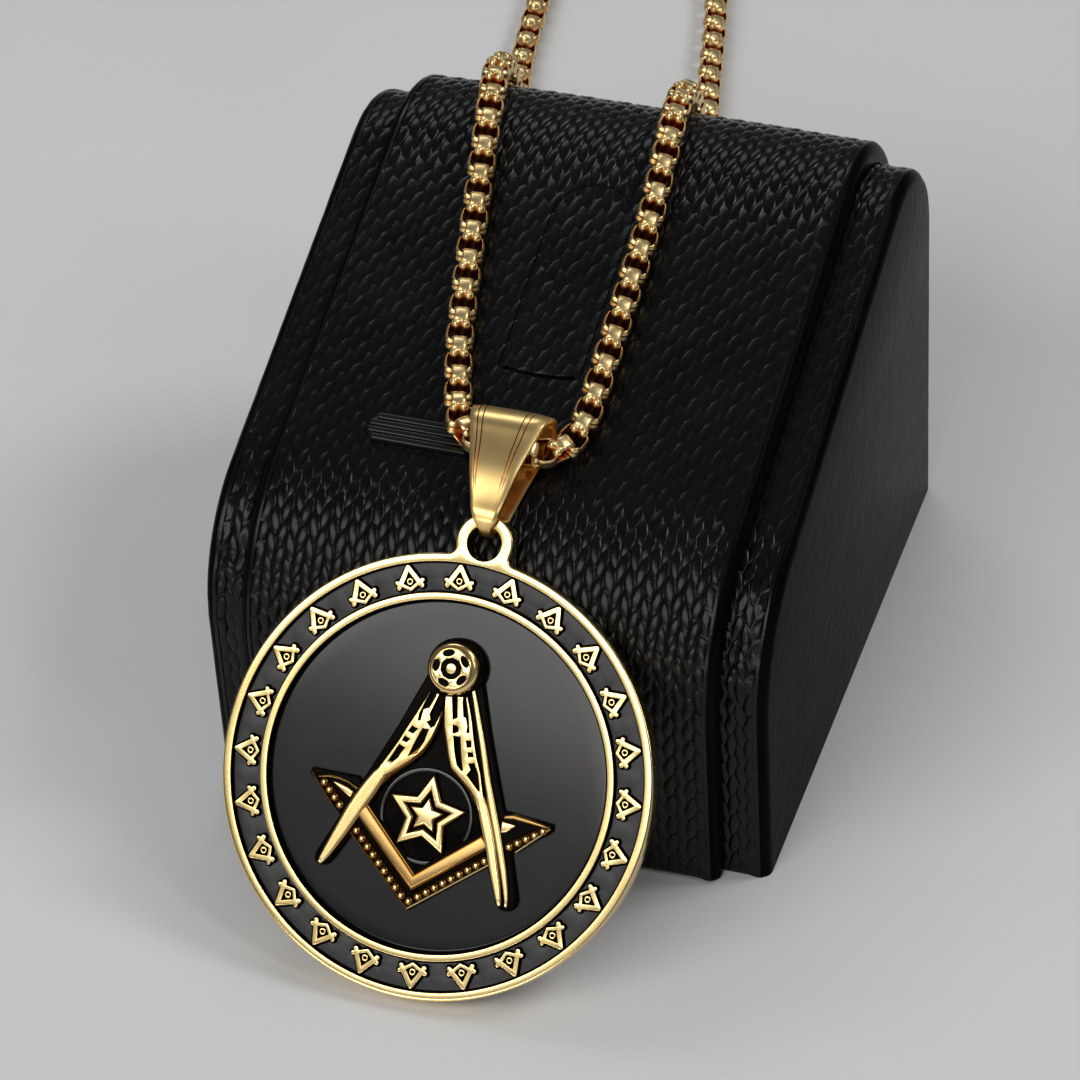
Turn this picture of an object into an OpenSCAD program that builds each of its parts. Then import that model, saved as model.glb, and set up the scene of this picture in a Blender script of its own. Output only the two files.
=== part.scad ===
/* [Display block] */
// Width of the block over both flanks
block_w = 53.5; // [50:0.5:60]
// Depth of the block from front to back
block_d = 58; // [54:1:64]
// Height at which the slope, carried on, meets the front face
front_h = 28.7; // [27:0.1:31]
// Slope of the top, in degrees
slope = 18; // [16:0.5:20]
// Radius where the front turns into the slope
front_round = 13.5; // [12:0.5:15]
// Radius of the ridge at the back of the slope
ridge_round = 10; // [8:0.5:11]

/* [Padded panel] */
// Width of the padded panel that wraps the block
pad_w = 45; // [42:0.5:47]
// Thickness of the padded panel
pad_t = 2.1; // [1.6:0.1:2.4]
// Width of the cut tongue in the panel
tongue_w = 7.8; // [7:0.1:8.4]
// Length of the cut tongue along the slope
tongue_l = 21; // [18:0.5:22]
// Length of the ribbed bar on the panel
bar_l = 9.8; // [9:0.1:9.9]
// Width of the ribbed bar
bar_w = 2.85; // [2.6:0.05:3.2]

/* [Medal] */
// Diameter of the medal
disc_d = 40; // [38:0.5:42]
// Thickness of the medal
disc_t = 2; // [1.8:0.1:2.2]
// Width of the raised rim
rim_w = 0.75; // [0.5:0.05:0.8]
// Outer radius of the raised inner ring
ring_r = 16.45; // [16:0.05:16.6]
// Width of the raised inner ring
ring_w = 0.6; // [0.5:0.05:0.7]
// Number of small figures in the border
figure_count = 24; // [20:1:28]
// Backward lean of the medal from upright, in degrees
lean = 39.8; // [38:0.1:42]
// Turn of the medal in its own plane, in degrees
medal_turn = 2.7; // [0:0.1:4]

/* [Eyelet and bail] */
// Outer diameter of the eyelet on the medal
eyelet_d = 5.2; // [5:0.1:5.4]
// Diameter of the eyelet hole
eyelet_hole = 3.2; // [3.1:0.05:3.4]
// Width of the bail at its fold
bail_top_w = 7.7; // [7:0.1:8]
// Width of the bail where it passes the eyelet
bail_foot_w = 1.4; // [1.3:0.1:1.5]
// Thickness of the bail's sheet
bail_t = 0.4; // [0.35:0.05:0.45]

/* [Chain] */
// Outer diameter of the box chain
chain_d = 2.7; // [2.5:0.1:2.8]

/* [Hidden] */
$fn = 96;
seat_gap = 0.05;
cut_margin = 1;

// Centres of the front and ridge rounds, in (y, z), on the flank's profile
front_y = -block_d / 2;
front_c = [
    front_y + front_round,
    front_h + front_round * tan(slope) - front_round / cos(slope)
];
ridge_c = [
    -front_y - ridge_round,
    front_h + (block_d - ridge_round) * tan(slope) - ridge_round / cos(slope)
];
slope_normal = [-sin(slope), cos(slope)];
pad_lift = 0.4;

// A round stands this far proud of the flats it joins, so that the two meet in clean edges
round_lift = 0.02;

// The tongue's cut and the bar, along the slope from the profile's virtual front corner
tongue_x = -0.4;
tongue_s = 23;
tongue_top_r = tongue_w / 2;
tongue_foot_drop = 0.8;
cut_w = 0.5;
cut_depth = 0.9;
bar_x = -14.1;
bar_s = 12.6;
bar_base_t = 0.3;
bar_rib_d = 0.66;
bar_ribs = 4;

// Heights inside the medal, from its back face
border_floor = 1.2;
border_fill = 1.5;
figure_top = 1.85;
centre_floor = 1;
centre_top = 1.5;
disc_r = disc_d / 2;
eyelet_y = 21.3;

// Border figures: how far out they stand, the first one's angle, and each one's half width and reach
figure_r = 17.9;
figure_first = 9.8;
figure_half_w = 1.3;
figure_side_y = -0.45;
figure_point = 1.1;
figure_corner = 1.2;

// Resting place of the medal: its back edge on the floor, its back face on the pad's front round
lean_gap = 0.04;
medal_x = -0.6;
medal_z = disc_r * cos(lean);
lean_reach = front_round + pad_t + lean_gap;
medal_y = front_c.x - (lean_reach + (front_c.y - medal_z) * sin(lean)) / cos(lean);

// Emblem on the medal
plate_gap = 0.02;
foot_t = 0.35;
leg_t = 1;
square_t = 0.8;
star_t = 0.9;
head_r = 2.35;
head_t = 2;
head_y = 9.9;
star_y = -3.4;
star_r = 3.9;
star_waist = 0.5;
star_foot = 0.9;

// One leg of the compasses, from the hinge down its outer side and back up its inner side
leg_outline = [
    [0.2, 8.6], [2.6, 8.6], [4.7, 3.2], [7, -2.4], [9.6, -9], [9.1, -9.9], [8.3, -9.6],
    [4.9, -2.2], [4.1, -0.8], [1.6, 1], [0.6, 4]
];

// One arm of the square, from its outer corner to its inner corner
square_outline = [[0, -12.1], [11.5, -2.2], [11.2, -1.6], [7.2, -2], [5, -4.2], [0, -8.7]];

// Bail: two round ends and the straight sides between them, in the plane across the block
bail_x = 0;
bail_foot = [-24.29, 34.3];
bail_foot_x = 0.3;
bail_neck_l = 1.2;
bail_flare_l = 0.8;
bail_flare = 0.7;
bail_axis = 27.5;
bail_l = 7.5;
bail_top_r = 2.6;
bail_foot_r = 2;

// Chain: its route from one end of the clasp, round the block and back to the other end
chain_r = chain_d / 2;
chain_sides = 8;
clasp_r = 1.45;
clasp_end_r = 1.2;
clasp_collar = 2;
clasp_gap = 0.3;
chain_route = [
    [-58.6, 219.8, 1.5], [-60.5, 219.3, 1.5], [-68, 213, 1.5], [-74, 201, 1.5], [-76.5, 187, 1.5],
    [-74.5, 172.5, 1.5], [-67.5, 157.5, 1.5], [-58.5, 144.5, 1.5], [-49, 132, 1.5],
    [-42.5, 120.5, 1.5], [-38.5, 109, 1.5], [-36.8, 97.5, 1.5], [-35, 86, 1.5],
    [-32.2, 75, 1.5], [-28.6, 64, 1.5], [-24.6, 53, 1.5], [-21, 43, 1.5],
    [-19.9, 38.9, 2.2], [-19.3, 35.7, 4.4], [-18.8, 33.6, 7.7], [-18.3, 32.9, 12],
    [-17.9, 32.7, 18], [-17.5, 32.7, 26], [-17.1, 32.8, 33.8], [-16.6, 32.2, 38],
    [-16, 30.1, 41.9], [-15.3, 27.1, 44.9], [-14.5, 23.3, 46.8], [-13.4, 19, 47.5],
    [-12.5, 14.7, 46.8], [-11.3, 8.4, 44.7], [-10.1, 2.2, 42.7], [-8.8, -4.2, 40.6],
    [-7.8, -8.6, 39.2], [-6.7, -12.2, 38.1], [-6.1, -14, 37.8], [-5.6, -15.3, 37.6],
    [-5.1, -16.4, 37.4], [-4.4, -17.4, 37.2], [-3.2, -18, 37], [0, -18.2, 36.9],
    [3.3, -18.1, 36.9], [4.3, -17.4, 36.8], [5.1, -16, 36.8], [5.6, -14.6, 37.2],
    [5.8, -12.6, 37.9], [5.8, -8, 39.4], [5.7, -2.8, 41], [5.6, 3, 42.9],
    [5.4, 8.6, 44.7], [4.9, 14.7, 46.8], [4.4, 19, 47.5], [3.7, 23.3, 46.8],
    [3.1, 27.1, 44.9], [2.6, 30.1, 41.9], [2.1, 32.2, 38], [1.7, 32.8, 33.8],
    [1.3, 32.7, 26], [0.9, 32.7, 18], [0.6, 32.9, 12], [0.3, 33.6, 7.7],
    [0, 35.7, 4.4], [-0.5, 38.9, 2.2], [-1.3, 43, 1.5], [-4, 53, 1.5],
    [-7.2, 64, 1.5], [-10.4, 75, 1.5], [-13.4, 86, 1.5], [-16, 97, 1.5],
    [-19, 108.5, 1.5], [-21, 120, 1.5], [-21, 132.5, 1.5], [-18.5, 146.5, 1.5],
    [-15, 161.5, 1.5], [-13.5, 176.5, 1.5], [-15.5, 191.5, 1.5], [-21.5, 205, 1.5],
    [-32, 216, 1.5], [-44.5, 221.4, 1.5], [-46.5, 221.5, 1.5]
];

function profile(out) = [
    [front_y - out, 0],
    [front_y - out, front_c.y],
    front_c + (front_round + out) * slope_normal,
    ridge_c + (ridge_round + out) * slope_normal,
    [-front_y + out, ridge_c.y],
    [-front_y + out, 0]
];

// Stands an outline drawn in (y, z) upright and gives it a width along x
module across(width) {
    rotate([90, 0, 90]) linear_extrude(width, center = true) children();
}

// The block's form, grown outwards by the amount given
module profiled(out, width) {
    across(width) polygon(profile(out - round_lift));
    across(width) translate(front_c) circle(front_round + out);
    across(width) translate(ridge_c) circle(ridge_round + out);
}

// Frame on the slope: x across, y up the slope, z out of it
module on_slope(x, s, out) {
    translate([0, front_y, front_h]) rotate([slope, 0, 0]) translate([x, s, out]) children();
}

module tongue_2d(grow) {
    radius = tongue_top_r + grow;
    foot = tongue_foot_drop + grow;
    translate([0, tongue_l - tongue_top_r]) circle(radius);
    translate([-radius, 0]) square([2 * radius, tongue_l - tongue_top_r]);
    intersection() {
        translate([0, 2 * tongue_w - foot]) circle(2 * tongue_w);
        translate([-radius, -foot]) square([2 * radius, tongue_w]);
    }
}

module block() {
    color("#1c1c1e") profiled(0, block_w);
}

module pad() {
    color("#242427") difference() {
        profiled(pad_t, pad_w);
        profiled(seat_gap, block_w);
        translate([-block_w, -block_d, -cut_margin])
            cube([2 * block_w, 2 * block_d, cut_margin + pad_lift]);
        on_slope(tongue_x, tongue_s, pad_t - cut_depth)
            linear_extrude(cut_depth + cut_margin) difference() {
                tongue_2d(0);
                tongue_2d(-cut_w);
            }
    }
}

module ribbed_bar() {
    pitch = (bar_w - bar_rib_d) / (bar_ribs - 1);
    color("#0c0c0d") on_slope(bar_x, bar_s, pad_t + seat_gap) {
        linear_extrude(bar_base_t) {
            translate([bar_w / 2, bar_w / 2]) circle(bar_w / 2);
            translate([bar_w / 2, 0]) square([bar_l - bar_w / 2, bar_w]);
        }
        for (i = [0 : bar_ribs - 1])
            translate([bar_w / 4, bar_rib_d / 2 + i * pitch, bar_base_t])
                rotate([0, 90, 0]) cylinder(d = bar_rib_d, h = bar_l - bar_w / 4);
    }
}

// Places a child that is drawn flat, face up, as the medal leans
module at_medal() {
    translate([medal_x, medal_y, medal_z]) rotate([90 - lean, 0, 0])
        rotate([0, 0, -medal_turn]) children();
}

// Outline of one border figure: the compasses' point outwards, the square's corner inwards
module figure_2d(grow) {
    half_w = figure_half_w + grow;
    polygon([
        [0, figure_point + grow],
        [half_w, figure_side_y],
        [0, -figure_corner - grow],
        [-half_w, figure_side_y]
    ]);
}

module at_figures() {
    for (i = [0 : figure_count - 1])
        rotate([0, 0, -figure_first - i * 360 / figure_count]) translate([0, figure_r]) children();
}

module medal() {
    color("#e0b860") at_medal() {
        difference() {
            union() {
                cylinder(r = disc_r, h = disc_t);
                translate([0, eyelet_y]) cylinder(d = eyelet_d, h = disc_t);
            }
            translate([0, 0, border_floor]) linear_extrude(disc_t) difference() {
                circle(disc_r - rim_w);
                circle(ring_r);
            }
            translate([0, 0, centre_floor]) cylinder(r = ring_r - ring_w, h = disc_t);
            translate([0, eyelet_y, -cut_margin])
                cylinder(d = eyelet_hole, h = disc_t + 2 * cut_margin);
        }
        linear_extrude(figure_top) at_figures() figure_2d(0);
    }
}

module border_enamel() {
    color("#2b2b30") at_medal()
        translate([0, 0, border_floor + plate_gap])
            linear_extrude(border_fill - border_floor) difference() {
                circle(disc_r - rim_w - seat_gap);
                circle(ring_r + seat_gap);
                at_figures() figure_2d(seat_gap);
            }
}

module centre_plate() {
    color("#3a3a3c") at_medal()
        translate([0, 0, centre_floor + plate_gap])
            cylinder(r = ring_r - ring_w - seat_gap, h = centre_top - centre_floor);
}

// One leg of the compasses, on the side given by the sign
module leg_2d(side) {
    polygon([for (p = leg_outline) [side * p.x, p.y]]);
}

module square_2d() {
    count = len(square_outline);
    mirrored = [for (i = [count - 2 : -1 : 1]) [-square_outline[i].x, square_outline[i].y]];
    polygon(concat(square_outline, mirrored));
}

module star_2d(radius) {
    polygon([
        for (i = [0 : 9])
            (i % 2 == 0 ? radius : radius * star_waist) * [sin(36 * i), cos(36 * i)]
    ]);
}

module emblem() {
    color("#b98a3c") at_medal() translate([0, 0, centre_top + 2 * plate_gap]) {
        linear_extrude(leg_t) {
            leg_2d(-1);
            leg_2d(1);
        }
        linear_extrude(square_t) square_2d();
        linear_extrude(foot_t) translate([0, star_y]) circle(star_r + star_foot);
        linear_extrude(star_t) translate([0, star_y]) star_2d(star_r);
        translate([0, head_y]) cylinder(r = head_r, h = head_t);
    }
}

// The bail's drop form, round at its foot and its top, drawn in by the amount given
module bail_drop(inset, width) {
    taper = asin((bail_top_r - bail_foot_r) / bail_l);
    foot = bail_foot_r - inset - round_lift;
    top = bail_top_r - inset - round_lift;
    across(width) circle(bail_foot_r - inset);
    across(width) translate([bail_l, 0]) circle(bail_top_r - inset);
    across(width) polygon([
        foot * [-sin(taper), cos(taper)],
        [bail_l - top * sin(taper), top * cos(taper)],
        [bail_l - top * sin(taper), -top * cos(taper)],
        foot * [-sin(taper), -cos(taper)]
    ]);
}

// Edge of the bail's sheet from foot to fold, on the side given by the sign
function bail_edge(side) = [
    [bail_foot_x + side * bail_foot_w / 2, -bail_foot_r],
    [bail_foot_x + side * bail_foot_w / 2, bail_neck_l - bail_foot_r],
    [bail_foot_x + side * (bail_foot_w / 2 + bail_flare), bail_neck_l + bail_flare_l - bail_foot_r],
    [side * bail_top_w / 2, bail_l + bail_top_r]
];

module bail() {
    color("#d9b56a") translate([bail_x, bail_foot.x, bail_foot.y]) rotate([bail_axis, 0, 0])
        difference() {
            intersection() {
                bail_drop(0, bail_top_w);
                linear_extrude(4 * bail_top_r, center = true)
                    polygon(concat(bail_edge(1), [for (i = [3 : -1 : 0]) bail_edge(-1)[i]]));
            }
            bail_drop(bail_t, 2 * bail_top_w);
        }
}

function unit(v) = v / norm(v);

// Direction of the route at a point, from its two neighbours
function heading(path, i) = unit(path[min(i + 1, len(path) - 1)] - path[max(i - 1, 0)]);

// Side direction at each point, carried along the route so that the tube doesn't twist
function sides(path, i = 0, before = [0, 0, 1]) =
    i == len(path) ? [] :
    let(t = heading(path, i), s = unit(before - (before * t) * t))
    concat([s], sides(path, i + 1, s));

module tube(path, radius, count) {
    side = sides(path);
    reach = radius / cos(180 / count);
    last = len(path) - 1;
    points = [
        for (i = [0 : last])
            let(t = heading(path, i), s = side[i], w = cross(t, s))
                for (k = [0 : count - 1])
                    let(a = (k + 0.5) * 360 / count) path[i] + reach * (cos(a) * s + sin(a) * w)
    ];
    walls = [
        for (i = [0 : last - 1])
            for (k = [0 : count - 1])
                let(n = (k + 1) % count)
                    [i * count + k, (i + 1) * count + k, (i + 1) * count + n, i * count + n]
    ];
    caps = [
        [for (k = [0 : count - 1]) k],
        [for (k = [count - 1 : -1 : 0]) last * count + k]
    ];
    polyhedron(points, concat(walls, caps));
}

module chain() {
    color("#d2ab55") tube(chain_route, chain_r, chain_sides);
}

// Places a child between the chain's two ends, with its x axis from the first to the last
module at_clasp() {
    from = chain_route[0];
    to = chain_route[len(chain_route) - 1];
    translate((from + to) / 2) rotate([0, 0, atan2(to.y - from.y, to.x - from.x)]) children();
}

module clasp() {
    ends = norm(chain_route[len(chain_route) - 1] - chain_route[0]) - 2 * clasp_gap;
    color("#d2ab55") at_clasp() rotate([0, 90, 0]) {
        cylinder(r = clasp_end_r, h = ends, center = true);
        cylinder(r = clasp_r, h = ends - 2 * clasp_collar, center = true);
    }
}

block();
pad();
ribbed_bar();
medal();
border_enamel();
centre_plate();
emblem();
bail();
chain();
clasp();
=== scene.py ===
import math
import random
from bisect import bisect

import bpy
from mathutils import Matrix, Vector, noise
from mathutils.geometry import delaunay_2d_cdt


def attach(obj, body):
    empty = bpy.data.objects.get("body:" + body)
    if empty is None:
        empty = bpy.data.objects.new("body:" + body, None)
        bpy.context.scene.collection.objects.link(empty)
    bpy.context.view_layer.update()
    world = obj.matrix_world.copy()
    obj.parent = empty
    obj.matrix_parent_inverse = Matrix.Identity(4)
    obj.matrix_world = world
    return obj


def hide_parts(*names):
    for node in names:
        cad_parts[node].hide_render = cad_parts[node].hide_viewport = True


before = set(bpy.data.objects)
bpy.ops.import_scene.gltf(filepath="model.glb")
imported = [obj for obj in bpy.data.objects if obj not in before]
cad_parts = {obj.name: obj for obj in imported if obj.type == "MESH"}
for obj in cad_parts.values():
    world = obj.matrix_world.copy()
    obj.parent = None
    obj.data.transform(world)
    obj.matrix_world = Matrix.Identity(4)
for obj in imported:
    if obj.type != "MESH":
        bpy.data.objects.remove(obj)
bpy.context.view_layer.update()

MM = 0.001
BODY = "root"

# Display block and padded panel, in mm, as in the CAD
BLOCK_W = 53.5
BLOCK_D = 58
FRONT_H = 28.7
SLOPE = math.radians(18)
FRONT_ROUND = 13.5
RIDGE_ROUND = 10
PAD_W = 45
PAD_T = 2.1
PAD_LIFT = 0.4
SEAT_GAP = 0.05
FRONT_Y = -BLOCK_D / 2
FRONT_C = Vector((
    FRONT_Y + FRONT_ROUND,
    FRONT_H + FRONT_ROUND * math.tan(SLOPE) - FRONT_ROUND / math.cos(SLOPE),
))
RIDGE_C = Vector((
    -FRONT_Y - RIDGE_ROUND,
    FRONT_H + (BLOCK_D - RIDGE_ROUND) * math.tan(SLOPE) - RIDGE_ROUND / math.cos(SLOPE),
))
ON_SLOPE = Matrix.Translation((0, FRONT_Y, FRONT_H)) @ Matrix.Rotation(SLOPE, 4, "X")
TONGUE_X = -0.4
TONGUE_S = 23
TONGUE_W = 7.8
TONGUE_L = 21
TONGUE_FOOT = 0.8
TONGUE_BOW = 2 * TONGUE_W
BAR_X = -14.1
BAR_S = 12.6
BAR_L = 9.8
BAR_W = 2.85

# Medal, in its own frame: z is 0 on its back face and 2 on its front
DISC_R = 20
DISC_T = 2
RIM_IN = 19.25
RING_OUT = 16.45
RING_IN = 15.85
BAND_FLOOR = 1.2
ENAMEL_TOP = 1.5
FIGURE_TOP = 1.85
CENTRE_FLOOR = 1
PLATE_TOP = 1.5
EYELET_Y = 21.3
EYELET_R = 2.6
EYELET_HOLE_R = 1.6
FIGURE_COUNT = 24
FIGURE_R = 17.87
FIGURE_FIRST = 9.8
LEAN = math.radians(39.8)
MEDAL_TURN = math.radians(2.7)
MEDAL_X = -0.6
MEDAL_Z = DISC_R * math.cos(LEAN)
LEAN_REACH = FRONT_ROUND + PAD_T + 0.04
MEDAL_Y = FRONT_C.x - (LEAN_REACH + (FRONT_C.y - MEDAL_Z) * math.sin(LEAN)) / math.cos(LEAN)
AT_MEDAL = (
    Matrix.Translation((MEDAL_X, MEDAL_Y, MEDAL_Z))
    @ Matrix.Rotation(math.pi / 2 - LEAN, 4, "X")
    @ Matrix.Rotation(-MEDAL_TURN, 4, "Z")
)
EMBLEM_Z = PLATE_TOP + 0.04
STAR_Y = -3.5
STAR_RING_AT = (-0.1, STAR_Y - 0.1)
STAR_RING_RADII = (4.4, 3.95)

# Bail, in its own frame: y runs up its axis and z out of the slope
BAIL_L = 7.5
BAIL_FOOT_R = 2
BAIL_TOP_R = 2.6
BAIL_T = 0.4
AT_BAIL = Matrix.Translation((0, -24.29, 34.3)) @ Matrix.Rotation(math.radians(27.5), 4, "X")

# Chain: its route from one end of the clasp, round the block and back to the other end
CHAIN_D = 2.7
LINK_PITCH = 1.6
CLASP_GAP = 0.3
CHAIN_ROUTE = [
    (-58.6, 219.8, 1.5), (-60.5, 219.3, 1.5), (-68, 213, 1.5), (-74, 201, 1.5), (-76.5, 187, 1.5),
    (-74.5, 172.5, 1.5), (-67.5, 157.5, 1.5), (-58.5, 144.5, 1.5), (-49, 132, 1.5),
    (-42.5, 120.5, 1.5), (-38.5, 109, 1.5), (-36.8, 97.5, 1.5), (-35, 86, 1.5),
    (-32.2, 75, 1.5), (-28.6, 64, 1.5), (-24.6, 53, 1.5), (-21, 43, 1.5),
    (-19.9, 38.9, 2.2), (-19.3, 35.7, 4.4), (-18.8, 33.6, 7.7), (-18.3, 32.9, 12),
    (-17.9, 32.7, 18), (-17.5, 32.7, 26), (-17.1, 32.8, 33.8), (-16.6, 32.2, 38),
    (-16, 30.1, 41.9), (-15.3, 27.1, 44.9), (-14.5, 23.3, 46.8), (-13.4, 19, 47.5),
    (-12.5, 14.7, 46.8), (-11.3, 8.4, 44.7), (-10.1, 2.2, 42.7), (-8.8, -4.2, 40.6),
    (-7.8, -8.6, 39.2), (-6.7, -12.2, 38.1), (-6.1, -14, 37.8), (-5.6, -15.3, 37.6),
    (-5.1, -16.4, 37.4), (-4.4, -17.4, 37.2), (-3.2, -18, 37), (0, -18.2, 36.9),
    (3.3, -18.1, 36.9), (4.3, -17.4, 36.8), (5.1, -16, 36.8), (5.6, -14.6, 37.2),
    (5.8, -12.6, 37.9), (5.8, -8, 39.4), (5.7, -2.8, 41), (5.6, 3, 42.9),
    (5.4, 8.6, 44.7), (4.9, 14.7, 46.8), (4.4, 19, 47.5), (3.7, 23.3, 46.8),
    (3.1, 27.1, 44.9), (2.6, 30.1, 41.9), (2.1, 32.2, 38), (1.7, 32.8, 33.8),
    (1.3, 32.7, 26), (0.9, 32.7, 18), (0.6, 32.9, 12), (0.3, 33.6, 7.7),
    (0, 35.7, 4.4), (-0.5, 38.9, 2.2), (-1.3, 43, 1.5), (-4, 53, 1.5),
    (-7.2, 64, 1.5), (-10.4, 75, 1.5), (-13.4, 86, 1.5), (-16, 97, 1.5),
    (-19, 108.5, 1.5), (-21, 120, 1.5), (-21, 132.5, 1.5), (-18.5, 146.5, 1.5),
    (-15, 161.5, 1.5), (-13.5, 176.5, 1.5), (-15.5, 191.5, 1.5), (-21.5, 205, 1.5),
    (-32, 216, 1.5), (-44.5, 221.4, 1.5), (-46.5, 221.5, 1.5),
]
CHAIN_MIDDLE = 40

# Where on the slope the chain's faces are turned to, and which way they look there
CHAIN_ANCHOR = Vector((-2, 2, 43))
CHAIN_FACES = Vector((0.29, -0.73, 0.61))

# Camera: where the photograph was taken from, in mm, and its lens
CAMERA_AT = (120.315, -331.487, 317.504)
CAMERA_RIGHT = Vector((0.94899, 0.31149, -0.04888))
CAMERA_UP = Vector((-0.16975, 0.63539, 0.75330))
CAMERA_LENS = 162.95
CAMERA_SENSOR = 36


def linked(name, data):
    """New object with the data, linked into the scene."""
    thing = bpy.data.objects.new(name, data)
    bpy.context.scene.collection.objects.link(thing)
    return thing


def add_camera():
    data = bpy.data.cameras.new("photo_view")
    data.lens = CAMERA_LENS
    data.sensor_width = CAMERA_SENSOR
    data.clip_start = 0.01
    data.clip_end = 20
    camera = linked("photo_view", data)
    turn = Matrix((CAMERA_RIGHT, CAMERA_UP, CAMERA_RIGHT.cross(CAMERA_UP))).transposed().to_4x4()
    camera.matrix_world = Matrix.Translation(Vector(CAMERA_AT) * MM) @ turn
    bpy.context.scene.camera = camera


# Plane geometry

def blend(value, low, high):
    """0 below low, 1 above high, smooth between."""
    share = min(1.0, max(0.0, (value - low) / (high - low)))
    return share * share * (3 - 2 * share)


def window(value, low, full, ebb, high):
    """Smooth rise from 0 at low to 1 at full, kept until ebb, and back to 0 at high."""
    return blend(value, low, full) * (1 - blend(value, ebb, high))


def heading(turn):
    return Vector((math.cos(turn), math.sin(turn)))


def left_of(way):
    return Vector((-way.y, way.x))


def area(loop):
    """Twice the area inside a flat loop, negative where the loop runs clockwise."""
    return sum(a[0] * b[1] - a[1] * b[0] for a, b in zip(loop, loop[1:] + loop[:1]))


def polar(radius, turn, centre=(0, 0)):
    return centre[0] + radius * math.cos(turn), centre[1] + radius * math.sin(turn)


def circle(radius, count, z=0.0, centre=(0, 0), start=0.0):
    return [(*polar(radius, start + 2 * math.pi * i / count, centre), z) for i in range(count)]


def arc(centre, radius, start, stop, count):
    """Points of an arc in the plane, angles in degrees, both ends included."""
    turns = [math.radians(start + (stop - start) * i / count) for i in range(count + 1)]
    return [polar(radius, turn, centre) for turn in turns]


def stroke(a, b, width, ends=6):
    """Outline of a line of the given width with round ends."""
    turn = math.degrees(math.atan2(b[1] - a[1], b[0] - a[0]))
    return arc(b, width / 2, turn - 90, turn + 90, ends) + arc(a, width / 2, turn + 90, turn + 270, ends)


def triangulated(loops, solid, nearest):
    """Flat triangles inside the first loops, as many as solid says, and outside the others.

    Returns the corners, the triangles with their insides on the left, and the sources of each corner.
    """
    ends = [0]
    for loop in loops:
        ends.append(ends[-1] + len(loop))
    faces = [list(range(a, b)) for a, b in zip(ends, ends[1:])]
    points = [Vector(p[:2]) for loop in loops for p in loop]
    corners, _, tris, sources, _, inside = delaunay_2d_cdt(points, [], faces, 1, nearest)
    kept = []
    for tri, hits in zip(tris, inside):
        if hits and max(hits) < solid:
            a, b, c = (corners[n] for n in tri)
            kept.append(tri if (b - a).cross(c - a) > 0 else tri[::-1])
    return corners, kept, sources


def outline(shapes, holes=()):
    """Border loops of the shapes joined together less the holes, each with the inside on its left."""
    every = [shape if area(shape) > 0 else shape[::-1] for shape in (*shapes, *holes)]
    corners, tris, _ = triangulated(every, len(shapes), 1e-5)
    edges = dict.fromkeys(edge for tri in tris for edge in zip(tri, tri[1:] + tri[:1]))
    border = {}
    for a, b in edges:
        if (b, a) not in edges:
            border.setdefault(a, []).append(b)
    loops = []
    while border:
        loop = [next(iter(border))]
        while loop[-1] in border:
            ways = border[loop[-1]]
            there = ways.pop()
            if not ways:
                del border[loop[-1]]
            if there == loop[0]:
                break
            loop.append(there)
        if len(loop) > 2:
            loops.append(thinned([corners[n] for n in loop]))
    return loops


def thinned(loop, nearest=0.012, straight=1e-4):
    """The loop without points that all but touch their neighbour or lie on a straight stretch."""
    kept = []
    for i, p in enumerate(loop):
        before = loop[i - 1]
        a = (p - before).normalized()
        b = (loop[(i + 1) % len(loop)] - p).normalized()
        touches = i and (p - before).length < nearest
        if not touches and (abs(a.cross(b)) >= straight or a.dot(b) <= 0):
            kept.append(p)
    return kept


def inset(loop, depth, sharpest=0.35):
    """The loop moved to its left by depth, with corners cut off where they are sharp."""
    out = []
    for i, p in enumerate(loop):
        a = left_of((p - loop[i - 1]).normalized())
        b = left_of((loop[(i + 1) % len(loop)] - p).normalized())
        out.append(p + (a + b) * (depth / max(sharpest, 1 + a.dot(b))))
    return out


# Mesh building

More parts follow.
